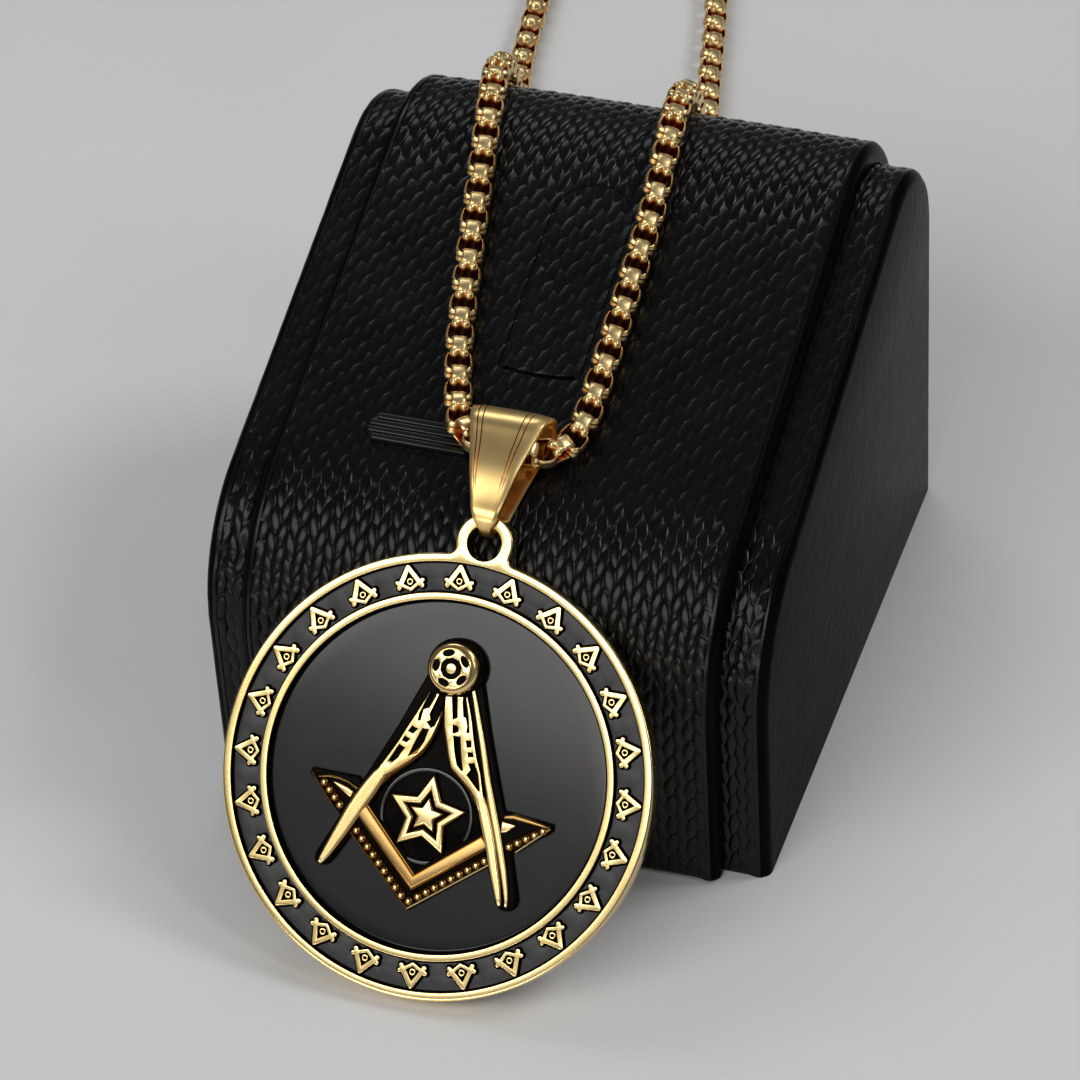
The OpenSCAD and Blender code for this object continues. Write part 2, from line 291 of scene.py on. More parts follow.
class Shell:
    """Points, in mm in the piece's own frame, and faces; rise runs from 0 in recesses to 1 on tops, and the
    gold materials tint by it: antique patina, and painted shade, reflection and glints.
    """

    def __init__(self):
        self.points = []
        self.rise = []
        self.faces = []
        self.finish = []
        self.flat = []

    def ring(self, points, rise=1.0):
        first = len(self.points)
        self.points += [Vector(p) for p in points]
        self.rise += [rise] * len(points)
        return list(range(first, len(self.points)))

    def point(self, place, rise):
        return self.ring([place], rise)[0]

    def face(self, corners, finish=0, flat=False):
        self.faces.append(tuple(corners))
        self.finish.append(finish)
        self.flat.append(flat)

    def band(self, a, b, finish=0, closed=True, flat=False):
        count = len(a)
        for i in range(count if closed else count - 1):
            j = (i + 1) % count
            self.face((a[i], a[j], b[j], b[i]), finish, flat)

    def bands(self, rings, finish=0, ends=False):
        """Bands from each ring to the next, and with ends a face over the first and the last as well."""
        for a, b in zip(rings, rings[1:]):
            self.band(a, b, finish)
        if ends:
            self.face(rings[0][::-1])
            self.face(rings[-1])

    def peak(self, ring, place):
        """Closes a ring with a fan of faces to one top point."""
        top = self.point(place, 1.0)
        for i, n in enumerate(ring):
            self.face((n, ring[(i + 1) % len(ring)], top))

    def fill(self, outers, holes=(), finish=0, flip=False):
        """Flat face inside the outer loops and outside the holes; loops are lists of point numbers."""
        loops = [
            loop if area([self.points[n] for n in loop]) > 0 else loop[::-1] for loop in (*outers, *holes)
        ]
        numbers = [n for loop in loops for n in loop]
        height = self.points[numbers[0]].z
        rise = self.rise[numbers[0]]
        places = [[self.points[n] for n in loop] for loop in loops]
        corners, tris, sources = triangulated(places, len(outers), 1e-6)
        own = [
            numbers[old[0]] if old else self.point((*corner, height), rise)
            for corner, old in zip(corners, sources)
        ]
        for tri in tris:
            self.face([own[n] for n in (tri[::-1] if flip else tri)], finish, True)

    def join(self, other, place=None):
        first = len(self.points)
        self.points += [place @ p if place else p for p in other.points]
        self.rise += other.rise
        for corners, kind, flat in zip(other.faces, other.finish, other.flat):
            self.face([first + n for n in corners], kind, flat)


# How rise runs up a rounded edge: low on the walls and slow over the bevel, which the gold tints darker,
# antique patina on the walls and painted shade on the bevels that dims their glints
RISE_FOOT = 0.12
RISE_POWER = 1.6


def raised(shapes, low, high, edge, holes=(), steps=3, finish=0, base_out=0.0):
    """Solid on the joined shapes, from low to high, with its upper edges rounded by edge."""
    shell = Shell()
    levels = [(-base_out, low, 0.0)]
    for i in range(steps + 1):
        turn = math.pi / 2 * i / steps
        rise = RISE_FOOT + (1 - RISE_FOOT) * (i / steps) ** RISE_POWER
        levels.append((edge * (1 - math.cos(turn)), high - edge * (1 - math.sin(turn)), rise))
    solids = []
    gaps = []
    for loop in outline(shapes, holes):
        rings = [shell.ring([(*p, z) for p in inset(loop, depth)], rise) for depth, z, rise in levels]
        shell.bands(rings, finish)
        (solids if area(loop) > 0 else gaps).append(rings)
    shell.fill([rings[-1] for rings in solids], [rings[-1] for rings in gaps], finish)
    shell.fill([rings[0] for rings in solids], [rings[0] for rings in gaps], finish, flip=True)
    return shell


def turned(profile, count):
    """Solid turned about z from a profile of (radius, height, rise), closed at both ends."""
    shell = Shell()
    shell.bands([shell.ring(circle(r, count, z), rise) for r, z, rise in profile], ends=True)
    return shell


def shell_mesh(name, shell, place):
    mesh = bpy.data.meshes.new(name)
    mesh.from_pydata([(place @ p) * MM for p in shell.points], [], shell.faces)
    return mesh


def add_piece(name, shell, materials, node, place=Matrix(), crease=34):
    """Piece that stands for a CAD node; edges are sharp from the crease's angle on."""
    mesh = shell_mesh(name, shell, place)
    for material in materials:
        mesh.materials.append(material)
    mesh.polygons.foreach_set("material_index", shell.finish)
    mesh.polygons.foreach_set("use_smooth", [not flat for flat in shell.flat])
    rise = mesh.attributes.new("rise", "FLOAT", "POINT")
    rise.data.foreach_set("value", shell.rise)
    mesh.update()
    mesh.set_sharp_from_angle(angle=math.radians(crease))
    piece = linked(name, mesh)
    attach(piece, BODY)
    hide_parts(node)
    return piece


# Materials

class Paint:
    """Node tree of one material, with short calls for the nodes that the finishes share."""

    def __init__(self, name, gloss=0.5, metallic=0.0):
        self.material = bpy.data.materials.new(name)
        self.material.use_nodes = True
        self.tree = self.material.node_tree
        self.shader = self.tree.nodes["Principled BSDF"]
        self.shader.inputs["Specular IOR Level"].default_value = gloss
        self.shader.inputs["Metallic"].default_value = metallic
        self.place = self.node("TexCoord").outputs["Object"]

    def node(self, kind, inputs=(), **attributes):
        """New node; an input is a value, or the socket that it is linked from."""
        node = self.tree.nodes.new("ShaderNode" + kind)
        for key, value in attributes.items():
            setattr(node, key, value)
        for key, value in dict(inputs).items():
            if isinstance(value, bpy.types.NodeSocket):
                self.tree.links.new(value, node.inputs[key])
            else:
                node.inputs[key].default_value = value
        return node

    def shade(self, name, source):
        self.tree.links.new(source, self.shader.inputs[name])

    def framed(self, place):
        """Object coordinates carried into a piece's own frame."""
        inputs = {"Location": place.to_translation() * MM, "Rotation": place.to_euler(), "Vector": self.place}
        return self.node("Mapping", inputs, vector_type="TEXTURE").outputs["Vector"]

    def noise(self, scale, detail, roughness=0.55, source=None):
        inputs = {"Scale": scale, "Detail": detail, "Roughness": roughness, "Vector": source or self.place}
        return self.node("TexNoise", inputs).outputs["Fac"]

    def ramp(self, source, stops):
        """Colour ramp of (position, colour) stops."""
        node = self.node("ValToRGB", {"Fac": source})
        marks = node.color_ramp.elements
        while len(marks) < len(stops):
            marks.new(0.5)
        for mark, (at, colour) in zip(marks, stops):
            mark.position = at
            mark.color = (*colour, 1)
        return node.outputs["Color"]

    def tints(self, source, dark, light, high=0.7):
        """Base colour between two close tints."""
        self.shade("Base Color", self.ramp(source, [(0.3, dark), (high, light)]))

    def rough(self, source, low, high):
        node = self.node("MapRange", {"To Min": low, "To Max": high, "Value": source})
        self.shade("Roughness", node.outputs["Result"])

    def bump(self, *layers):
        """Bump from (height, distance in mm) layers, the last one outermost."""
        inputs = {}
        for height, depth in layers:
            inputs |= {"Height": height, "Distance": depth * MM}
            inputs["Normal"] = self.node("Bump", inputs).outputs["Normal"]
        self.shade("Normal", inputs["Normal"])


def leatherette(name, gloss, grain=0.0):
    """Black leatherette; grain is the depth in mm of the coarse grain on the plain sides."""
    paint = Paint(name, gloss)
    paint.tints(paint.noise(120, 3), (0.0016, 0.0016, 0.0020), (0.0036, 0.0036, 0.0042))
    paint.rough(paint.noise(420, 4), 0.18, 0.28)
    pores = paint.node("TexVoronoi", {"Scale": 2100, "Vector": paint.place}).outputs["Distance"]
    layers = [(pores, 0.008), (paint.noise(2600, 5, 0.6), 0.014)]
    if grain:
        layers.append((paint.noise(800, 3, 0.6), grain))
    paint.bump(*layers)
    return paint.material


def gloss_black(name, gloss, rough=0.1):
    paint = Paint(name, gloss)
    paint.tints(paint.noise(300, 3), (0.002, 0.002, 0.002), (0.004, 0.004, 0.0045))
    paint.rough(paint.noise(900, 4), rough, rough + 0.08)
    paint.bump((paint.noise(1500, 3), 0.006))
    return paint.material


# Black for the emblem's flange, ground and rosette, and painted shade on the medal's inner walls
def black_fill_and_shade():
    paint = Paint("black_fill_and_shade", 0.02)
    paint.tints(paint.noise(900, 4), (0.0015, 0.0012, 0.001), (0.006, 0.004, 0.0025), high=0.75)
    paint.rough(paint.noise(1500, 4), 0.2, 0.34)
    paint.bump((paint.noise(2600, 4), 0.012))
    return paint.material


def charcoal_enamel():
    paint = Paint("charcoal_enamel", 0.46)
    mottle = paint.noise(1300, 5, 0.7)
    paint.tints(mottle, (0.004, 0.0038, 0.0045), (0.013, 0.012, 0.015))
    paint.rough(paint.noise(800, 4), 0.3, 0.46)
    paint.bump((mottle, 0.012))
    return paint.material


def black_enamel():
    paint = Paint("black_enamel", 0.42)
    paint.tints(paint.noise(90, 3), (0.0035, 0.0035, 0.0038), (0.006, 0.006, 0.0064))
    paint.rough(paint.noise(500, 4), 0.12, 0.18)
    paint.bump((paint.noise(45, 2), 0.004), (paint.noise(2400, 3), 0.0006))
    return paint.material


def pale_floor():
    paint = Paint("pale_floor")
    paint.tints(paint.noise(14, 4), (0.72, 0.72, 0.73), (0.76, 0.76, 0.77))
    paint.rough(paint.noise(30, 3), 0.55, 0.7)
    return paint.material


# Gold's tint from recesses to tops: antique patina with painted shade, painted shade and reflection inside
# the chain's links, and painted shade, reflection and glints on the bail
# Medal and emblem: dark antique patina in the hollows, and painted shade on the walls and bevels
ANTIQUE_AND_SHADE = [(0.0, (0.014, 0.006, 0.003)), (0.45, (0.3, 0.19, 0.09)), (0.8, (1.0, 1.0, 1.0))]
# Chain: painted red-brown shade and reflection on the links' insides, notches and end faces
LINK_INSIDE_SHADE = [(0.0, (0.42, 0.1, 0.03)), (0.4, (0.7, 0.4, 0.2)), (0.8, (1.0, 1.0, 1.0))]
# Bail: painted shade in its engraved lines, and painted orange reflection and glints on its inner side
BAIL_SHADE_AND_GLINTS = [
    (0.0, (0.06, 0.025, 0.008)), (0.35, (1.0, 0.5, 0.18)), (0.55, (1.0, 0.64, 0.3)), (0.85, (1.0, 1.0, 1.0)),
]


def gold(name, pale, deep, low, high, grain, place=None, patina_and_shade=ANTIQUE_AND_SHADE, hammered=0.0):
    """Plated gold with two close tints, uneven gloss and fine handling marks.

    Its roughness runs from low to high, and the patina_and_shade ramp tints it by rise: painted shade,
    reflection and glints, with antique patina in the medal's and emblem's hollows.
    """
    paint = Paint(name, metallic=1.0)
    source = paint.framed(place) if place else None
    tint = paint.ramp(paint.noise(160, 3, source=source), [(0.35, deep), (0.65, pale)])
    rise = paint.node("Attribute", attribute_name="rise").outputs["Fac"]
    factors = {0: 1.0, 6: tint, 7: paint.ramp(rise, patina_and_shade)}
    product = paint.node("Mix", factors, data_type="RGBA", blend_type="MULTIPLY")
    paint.shade("Base Color", product.outputs[2])
    paint.rough(paint.noise(700, 5, 0.65, source), low, high)
    stretched = paint.node("Mapping", {"Scale": (9000, 500, 2500), "Vector": source or paint.place})
    scratches = paint.noise(1, 3, 0.7, stretched.outputs["Vector"])
    layers = [(scratches, grain), (paint.noise(2200, 3, source=source), grain * 0.8)]
    if hammered:
        layers.append((paint.noise(1900, 2, 0.4, source), hammered))
    paint.bump(*layers)
    return paint.material


# Display block and padded panel

def wrap_lengths(out):
    """Lengths of the stretches up the front, round the front, up the slope, over the ridge, down the back."""
    return [
        FRONT_C.y,
        (FRONT_ROUND + out) * (math.pi / 2 - SLOPE),
        (RIDGE_C - FRONT_C).length,
        (RIDGE_ROUND + out) * (math.pi / 2 + SLOPE),
        RIDGE_C.y,
    ]


def wrap_point(s, out, reference):
    """Point (y, z) out of the block's form, s mm round it from the foot of its front."""
    front, bend, slope, ridge, _ = wrap_lengths(reference)
    if s < front:
        return Vector((FRONT_Y - out, s))
    s -= front
    if s < bend:
        return FRONT_C + heading(math.pi - s / (FRONT_ROUND + reference)) * (FRONT_ROUND + out)
    s -= bend
    if s < slope:
        return FRONT_C + left_of(heading(SLOPE)) * (FRONT_ROUND + out) + s * heading(SLOPE)
    s -= slope
    if s < ridge:
        turn = math.pi / 2 + SLOPE - s / (RIDGE_ROUND + reference)
        return RIDGE_C + heading(turn) * (RIDGE_ROUND + out)
    return Vector((-FRONT_Y + out, RIDGE_C.y - (s - ridge)))


def uneven(x, s, across, along, seed):
    """Smooth noise over the wrap, its waves set by so many steps a mm across and along it."""
    return noise.noise((x * across, s * along, seed))


CELL_W = 0.93
CELL_L = 2.45
CELL_ZIGZAG = 0.16
CELL_SKEW = 0.3
CELL_HEIGHTS = (0.95, 0.8)
CELL_STEPS = ((0.1, 0.12, 0.34), (0.28, 0.3, 0.68), (0.58, 0.6, 0.94))
CELL_TOP = 1.08
SLOPE_EASE = 0.7
EDGE_STEPS = 5


def cell_depth(s):
    """Share of the embossing's depth kept at s, less where the panel is stretched flat on the slope."""
    front, bend, slope = wrap_lengths(PAD_T)[:3]
    low = front + bend
    high = low + slope
    return 1 - SLOPE_EASE * window(s, low - 4, low + 4, high - 9, high)


def embossed(shell, x_from, x_to, reference, start, stop, depth, drop):
    """Embossed leaf-shaped cells, leaning by turns to the right and the left, in columns along the wrap.

    Returns the borders on the left and on the right, as lists of (point number, length round the wrap),
    and those at the start and at the stop, as lists of point numbers.
    """
    columns = max(2, round((x_to - x_from) / CELL_W))
    cell_w = (x_to - x_from) / columns
    rows = round((stop - start) / CELL_L)
    cell_l = (stop - start) / rows
    spots = {}
    borders = {}

    def spot(x, s, out, rise):
        number = shell.point((x, *wrap_point(s, reference + out + drop(x, s), reference)), rise)
        spots[number] = Vector((x, s))
        return number

    def border(line, step):
        step = min(max(step, 0), 2 * rows)
        if (line, step) not in borders:
            side = line in (0, columns)
            end = step in (0, 2 * rows)
            x = x_from + line * cell_w
            s = start + step * cell_l / 2
            if not end:
                s += CELL_SKEW if line % 2 else -CELL_SKEW
            if not side and not end:
                x += -CELL_ZIGZAG if (step + line) % 2 else CELL_ZIGZAG
                x += 0.07 * uneven(x, s, 1.3, 1.3, 5)
                s += 0.12 * uneven(x, s, 1.1, 1.1, 9)
            out, rise = (0, 0.5) if side else (-depth * cell_depth(s), 0.0)
            borders[line, step] = spot(x, s, out, rise)
        return borders[line, step]

    for column in range(columns):
        offset = column % 2
        for row in range(-offset, rows):
            base = 2 * row + offset
            loop = [border(column + 1, base + k) for k in (0, 1, 2)]
            loop += [border(column, base + k) for k in (2, 1, 0)]
            loop = [n for i, n in enumerate(loop) if n != loop[i - 1]]
            middle = sum((spots[n] for n in loop), Vector((0, 0))) / len(loop)
            high = CELL_HEIGHTS[offset] + 0.25 * uneven(*middle, 0.8, 0.8, 1)
            before = loop
            for across, along, lift in CELL_STEPS:
                keep = Vector((1 - across, 1 - along))
                places = [middle + (spots[n] - middle) * keep for n in loop]
                inner = [spot(p.x, p.y, depth * cell_depth(p.y) * (lift * high - 1), lift) for p in places]
                shell.band(before, inner)
                before = inner
            top = depth * cell_depth(middle.y) * (CELL_TOP * high - 1) + drop(*middle)
            shell.peak(before, (middle.x, *wrap_point(middle.y, reference + top, reference)))

    def side_border(line):
        return [(borders[line, k], spots[borders[line, k]].y) for k in range(2 * rows + 1)]

    def end_border(step):
        return [borders[line, step] for line in range(columns + 1)]

    return side_border(0), side_border(columns), end_border(0), end_border(2 * rows)


def numbers(border):
    return [number for number, _ in border]


def rounded_sides(shell, left, right, half, reference, radius, crinkle, floor_out=None):
    """Rolls both side borders over into the sides of the form, and on to floor_out where it is given.

    Returns the rings of the left side and of the right.
    """
    sides = []
    for side, border in ((-1, left), (1, right)):
        rings = [numbers(border)]
        for step in range(1, EDGE_STEPS + 1):
            turn = math.pi / 2 * step / EDGE_STEPS
            points = []
            for _, s in border:
                fold = crinkle * abs(noise.noise((s * 1.9, step * 0.8, side * 7.0)) * math.sin(2 * turn))
                place = wrap_point(s, reference - radius * (1 - math.cos(turn)) - fold, reference)
                points.append((side * (half + radius * math.sin(turn) - fold / 2), *place))
            rings.append(shell.ring(points, 0.8))
        if floor_out is not None:
            points = [(side * (half + radius), *wrap_point(s, floor_out, reference)) for _, s in border]
            rings.append(shell.ring(points, 0.3))
        for i, (a, b) in enumerate(zip(rings, rings[1:])):
            pair = (b, a) if side > 0 else (a, b)
            shell.band(*pair, 1 if i else 0, closed=False)
        sides.append(rings)
    return sides


def end_outline(sides, middle, end):
    """Point numbers round one end of a wrapped form: down its left side, along its border, its right side."""
    left, right = sides
    return [ring[end] for ring in left[:0:-1]] + middle + [ring[end] for ring in right[1:]]


def foot_arc(half, foot, extra=0.0, share=1.0):
    """The tongue's bowed foot, which reaches foot mm below its base."""
    reach = math.degrees(math.asin(half / TONGUE_BOW)) * share
    return arc((0, TONGUE_BOW - foot), TONGUE_BOW + extra, -90 - reach, -90 + reach, 16)


def on_tongue(points):
    return [(x + TONGUE_X, y + TONGUE_S) for x, y in points]


def tongue_outline(grow):
    """The cut tongue, in mm on the slope, with an arched top and a bowed foot."""
    half = TONGUE_W / 2 + grow
    return on_tongue(foot_arc(half, TONGUE_FOOT + grow) + arc((0, TONGUE_L - TONGUE_W / 2), half, 0, 180, 28))


def foot_slit():
    """The open part of the cut, along the tongue's bowed foot, widest in its middle."""
    half = TONGUE_W / 2 - 0.3
    lower = foot_arc(half, TONGUE_FOOT, 0.04)
    upper = foot_arc(half, TONGUE_FOOT - 0.5, 0.04, 0.9)
    return on_tongue(lower + upper[::-1])


PAD_EDGE = 1.05
PAD_CROWN = 0.12
PAD_EMBOSSING = 0.2
PAD_CRINKLE = 0.09
TONGUE_SINK = 0.1
DENT_DEPTH = 0.16
CUT_W = 0.1
CUT_DEPTH = 0.36
SLIT_DEPTH = 0.8
ABOVE_PAD = PAD_T + 1


def pad_drop(x, s):
    """How far out of its plain form the panel's face lies: its crown, the sunk tongue and a dent on it."""
    front, bend = wrap_lengths(PAD_T)[:2]
    u = s - front - bend + FRONT_ROUND * math.tan((math.pi / 2 - SLOPE) / 2) - TONGUE_S
    v = x - TONGUE_X
    out = 0.04 * uneven(x, s, 0.15, 0.15, 2) - 0.04 - PAD_CROWN * abs(x / (PAD_W / 2 - PAD_EDGE)) ** 4
    inside = min(TONGUE_W / 2 - abs(v), u + TONGUE_FOOT, TONGUE_L - u)
    if inside > 0:
        out -= TONGUE_SINK * min(1, inside / 0.6) + 0.05 * abs(uneven(x, s, 1.7, 1.7, 3))
    if -4.2 < v < -1.6 and 5 < u < 14:
        out -= DENT_DEPTH * abs(noise.noise((x * 2.6 - s * 0.8, s * 1.2, 8)))
    return out


def add_pad(leather, dull):
    shell = Shell()
    half = PAD_W / 2 - PAD_EDGE
    stop = sum(wrap_lengths(PAD_T)) - PAD_LIFT
    left, right, low, top = embossed(shell, -half, half, PAD_T, PAD_LIFT, stop, PAD_EMBOSSING, pad_drop)
    sides = rounded_sides(shell, left, right, half, PAD_T - PAD_CROWN, PAD_EDGE, PAD_CRINKLE, SEAT_GAP)
    shell.band(sides[0][-1], sides[1][-1], closed=False)
    shell.face(end_outline(sides, low, 0)[::-1])
    shell.face(end_outline(sides, top, -1))
    pad = add_piece("padded_panel", shell, [leather, dull], "pad", crease=50)
    within = [tongue_outline(-CUT_W)]
    faint = raised([tongue_outline(0)], PAD_T - CUT_DEPTH, ABOVE_PAD, 0.01, within, steps=1)
    slit = raised([foot_slit()], PAD_T - SLIT_DEPTH, ABOVE_PAD, 0.01, steps=1)
    for cut in (faint, slit):
        cut_away(pad, cut, ON_SLOPE)


def cut_away(piece, shell, place):
    """Cuts a shell's solid out of a piece, and applies the cut to its mesh."""
    cutter = linked("cutter", shell_mesh("cutter", shell, place))
    change = piece.modifiers.new("cut", "BOOLEAN")
    change.object = cutter
    change.operation = "DIFFERENCE"
    change.solver = "EXACT"
    depsgraph = bpy.context.evaluated_depsgraph_get()
    result = bpy.data.meshes.new_from_object(piece.evaluated_get(depsgraph))
    result.set_sharp_from_angle(angle=math.radians(50))
    piece.modifiers.clear()
    spent = (piece.data, cutter.data)
    piece.data = result
    bpy.data.objects.remove(cutter)
    for mesh in spent:
        bpy.data.meshes.remove(mesh)


BLOCK_EDGE = 1.2
BLOCK_EMBOSSING = 0.15
BLOCK_CRINKLE = 0.12
UNDER_PAD = 1.2
CREASE_DEPTH = 0.3


def block_drop(x, s):
    """How far out of its plain form the block's cover lies; it is creased on the front rounding."""
    front, bend = wrap_lengths(0)[:2]
    creased = window(s, front - 3, front + 1, front + bend - 4, front + bend + 2)
    crease = abs(uneven(x, s, 0.5, 1.4, 6)) + 0.5 * abs(uneven(x, s, 1.3, 2.2, 1))
    return 0.03 * uneven(x, s, 0.3, 0.3, 4) - 0.03 - CREASE_DEPTH * creased * crease


def add_block(leather, dull):
    shell = Shell()
    outer = BLOCK_W / 2 - BLOCK_EDGE
    inner = PAD_W / 2 - UNDER_PAD
    form = (0, 0, sum(wrap_lengths(0)), BLOCK_EMBOSSING, block_drop)
    left, left_in, left_low, left_top = embossed(shell, -outer, -inner, *form)
    right_in, right, right_low, right_top = embossed(shell, inner, outer, *form)
    sides = rounded_sides(shell, left, right, outer, 0, BLOCK_EDGE, BLOCK_CRINKLE)
    shell.band(numbers(right_in), numbers(left_in), closed=False)
    shell.face(sides[0][-1], 1, True)
    shell.face(sides[1][-1][::-1], 1, True)
    low = end_outline(sides, left_low + right_low, 0)
    top = end_outline(sides, left_top + right_top, -1)
    shell.face(top + low[::-1], flat=True)
    add_piece("block_wrap", shell, [leather, dull], "block", crease=50)


RIB_COUNT = 4
RIB_D = 0.66
BAR_BASE = 0.3


def round_ended(left, y, radius, right, count):
    """Outline of a strip along x with a round left end."""
    return [(right, y + radius), *arc((left, y), radius, 90, 270, count), (right, y - radius)]


def add_ribbed_bar(black):
    half = BAR_W / 2
    radius = RIB_D / 2
    shell = raised([round_ended(half, half, half, BAR_L, 24)], 0, BAR_BASE, 0.12)
    for i in range(RIB_COUNT):
        y = radius + i * (BAR_W - RIB_D) / (RIB_COUNT - 1)
        left = half - math.sqrt(half ** 2 - (y - half) ** 2) + radius + 0.05
        shape = round_ended(left, y, radius, BAR_L - 0.05, 12)
        shell.join(raised([shape], BAR_BASE - 0.1, BAR_BASE + RIB_D * 0.42, RIB_D * 0.3, steps=6))
    place = ON_SLOPE @ Matrix.Translation((BAR_X, BAR_S, PAD_T + SEAT_GAP))
    add_piece("ribbed_clasp_bar", shell, [black], "ribbed_bar", place, crease=40)


# Medal

# Rounded edges, as (distance in from the wall, distance down from the face)
ROUNDED = ((0.0, 0.06), (0.007, 0.027), (0.027, 0.007), (0.06, 0.0))
ROLLED = ((0.0, 0.12), (0.01, 0.075), (0.05, 0.042), (0.17, 0.014), (0.36, 0.0))
# Only this top band of each inner wall is gold; below it the walls take the black material as painted shade
WALL_GOLD = 0.06
TURNED_COUNT = 240
EYELET_FILLET = 0.7


def medal_outline(depth):
    """Outline of the disc and its eyelet, joined by small fillets, drawn in by depth."""
    a = DISC_R + EYELET_FILLET
    b = EYELET_R + EYELET_FILLET
    y = (a * a - b * b + EYELET_Y * EYELET_Y) / (2 * EYELET_Y)
    x = math.sqrt(a * a - y * y)
    on_disc = math.degrees(math.atan2(y, x))
    on_eyelet = math.degrees(math.atan2(y - EYELET_Y, x))
    down = math.degrees(math.atan2(-y, x))
    across = math.degrees(math.atan2(EYELET_Y - y, x))
    fillet = EYELET_FILLET + depth
    points = arc((0, 0), DISC_R - depth, 180 - on_disc, 360 + on_disc, 236)
    points += arc((x, y), fillet, 180 - down, 180 - across, 8)[1:]
    points += arc((0, EYELET_Y), EYELET_R - depth, on_eyelet, 180 - on_eyelet, 44)[1:]
    points += arc((-x, y), fillet, across, down, 8)[1:-1]
    return points


def both_edges(edge):
    """Steps (inset, height) up a wall of the disc that has the same edge on its back and its front."""
    return [*edge[::-1], *((d, DISC_T - drop) for d, drop in edge)]


def medal_body():
    shell = Shell()
    outer = [shell.ring([(*p, z) for p in medal_outline(d)]) for d, z in both_edges(ROLLED)]
    shell.bands(outer)
    # The hole's walls and the foot of its rounding get rise 0.55: painted shade in the eyelet hole
    hole = [
        shell.ring(circle(EYELET_HOLE_R + d, 48, z, (0, EYELET_Y)), 0.55 if d < 0.05 else 1.0)
        for d, z in both_edges(ROUNDED)
    ]
    shell.bands(hole[::-1])
    inside = [(RIM_IN + d, DISC_T - drop, 1.0) for d, drop in ROUNDED[::-1]]
    inside += [(RIM_IN, BAND_FLOOR, 0.0), (RING_OUT, BAND_FLOOR, 0.0)]
    inside += [(RING_OUT - d, DISC_T - drop, 1.0) for d, drop in ROUNDED]
    inside += [(RING_IN + d, DISC_T - drop, 1.0) for d, drop in ROUNDED[::-1]]
    inside += [(RING_IN, CENTRE_FLOOR, 0.0)]
    rings = [shell.ring(circle(r, TURNED_COUNT, z), rise) for r, z, rise in inside]
    for i, (a, b) in enumerate(zip(rings, rings[1:])):
        z_a, z_b = inside[i][1], inside[i + 1][1]
        # Walls and floors below the gold band take the black material: painted shade on the gold walls
        in_recess = max(z_a, z_b) < DISC_T - WALL_GOLD + 1e-6
        shell.band(a, b, 1 if in_recess else 0, flat=abs(z_a - z_b) < 1e-6)
    shell.face(rings[-1], 1, True)
    shell.fill([outer[-1]], [rings[0], hole[-1]])
    shell.fill([outer[0]], [hole[0]], flip=True)
    return shell


FIGURE_APEX = (0, 0.98)
FIGURE_LEG = 0.45
FIGURE_ARM = 0.3
FIGURE_FOOT = BAND_FLOOR - 0.1


def figure_strokes(grow=0.0):
    """Border figure: compasses' legs from an outer point, with a shallow square crossing them."""
    shapes = []
    for side in (-1, 1):
        elbow = (side * 0.85, -0.47)
        shapes.append(stroke(FIGURE_APEX, (side * 1.08, -0.78), FIGURE_LEG + 2 * grow))
        shapes.append(stroke((0, -1.02), elbow, FIGURE_ARM + 2 * grow))
        shapes.append(stroke(elbow, (side * 1.2, -0.31), FIGURE_ARM + 0.1 + 2 * grow))
    return shapes


def figure_shell():
    """Border figure with a small ring within."""
    shell = raised(figure_strokes(), FIGURE_FOOT, FIGURE_TOP, 0.05, base_out=0.02)
    ring = circle(0.31, 20, centre=(0, -0.3))
    hole = circle(0.15, 14, centre=(0, -0.3))
    shell.join(raised([ring], FIGURE_FOOT, FIGURE_TOP - 0.06, 0.05, [hole], steps=2))
    return shell


def figure_places():
    for i in range(FIGURE_COUNT):
        turn = -math.radians(FIGURE_FIRST + i * 360 / FIGURE_COUNT)
        yield Matrix.Rotation(turn, 4, "Z") @ Matrix.Translation((0, FIGURE_R, 0))


def add_medal(polished, black):
    shell = medal_body()
    figure = figure_shell()
    for place in figure_places():
        shell.join(figure, place)
    add_piece("medal_body", shell, [polished, black], "medal", AT_MEDAL)


ENAMEL_GAP = 0.14
FIGURE_GAP = 0.15


def add_border_enamel(enamel):
    """Enamel between the rim and the ring, let in round each figure."""
    holes = [circle(RING_OUT + ENAMEL_GAP, TURNED_COUNT)]
    for place in figure_places():
        for loop in outline(figure_strokes(FIGURE_GAP)):
            if area(loop) > 0:
                holes.append([(place @ p.to_3d()).to_2d() for p in loop])
    band = [circle(RIM_IN - ENAMEL_GAP, TURNED_COUNT)]
    shell = raised(band, BAND_FLOOR + 0.02, ENAMEL_TOP, 0.06, holes)
    add_piece("enamel_band", shell, [enamel], "border_enamel", AT_MEDAL)


# The plate's crown, and its rounded edge, as (distance in, distance down, rise)
PLATE_CROWN = 0.22
PLATE_EDGE = [(0, 0.12, 0.5), (0.1, 0.06, 0.5), (0.2, 0.02, 1.0), (0.27, 0.004, 1.0)]


def add_centre_plate(enamel):
    reach = RING_IN - SEAT_GAP
    low = CENTRE_FLOOR + 0.02
    edge = PLATE_TOP - PLATE_CROWN
    profile = [(0.001, low, 0.5), (reach, low, 0.5)]
    profile += [(reach - inward, edge - drop, rise) for inward, drop, rise in PLATE_EDGE]
    for share in (0.97, 0.9, 0.8, 0.7, 0.6, 0.5, 0.4, 0.3, 0.2, 0.1):
        profile.append((reach * share, PLATE_TOP - PLATE_CROWN * share * share, 1.0))
    shell = turned(profile, TURNED_COUNT)
    add_piece("enamel_plate", shell, [enamel], "centre_plate", AT_MEDAL, crease=40)


# Emblem: outlines in mm in the medal's frame, and stations (x, y, half width) of its swept bars

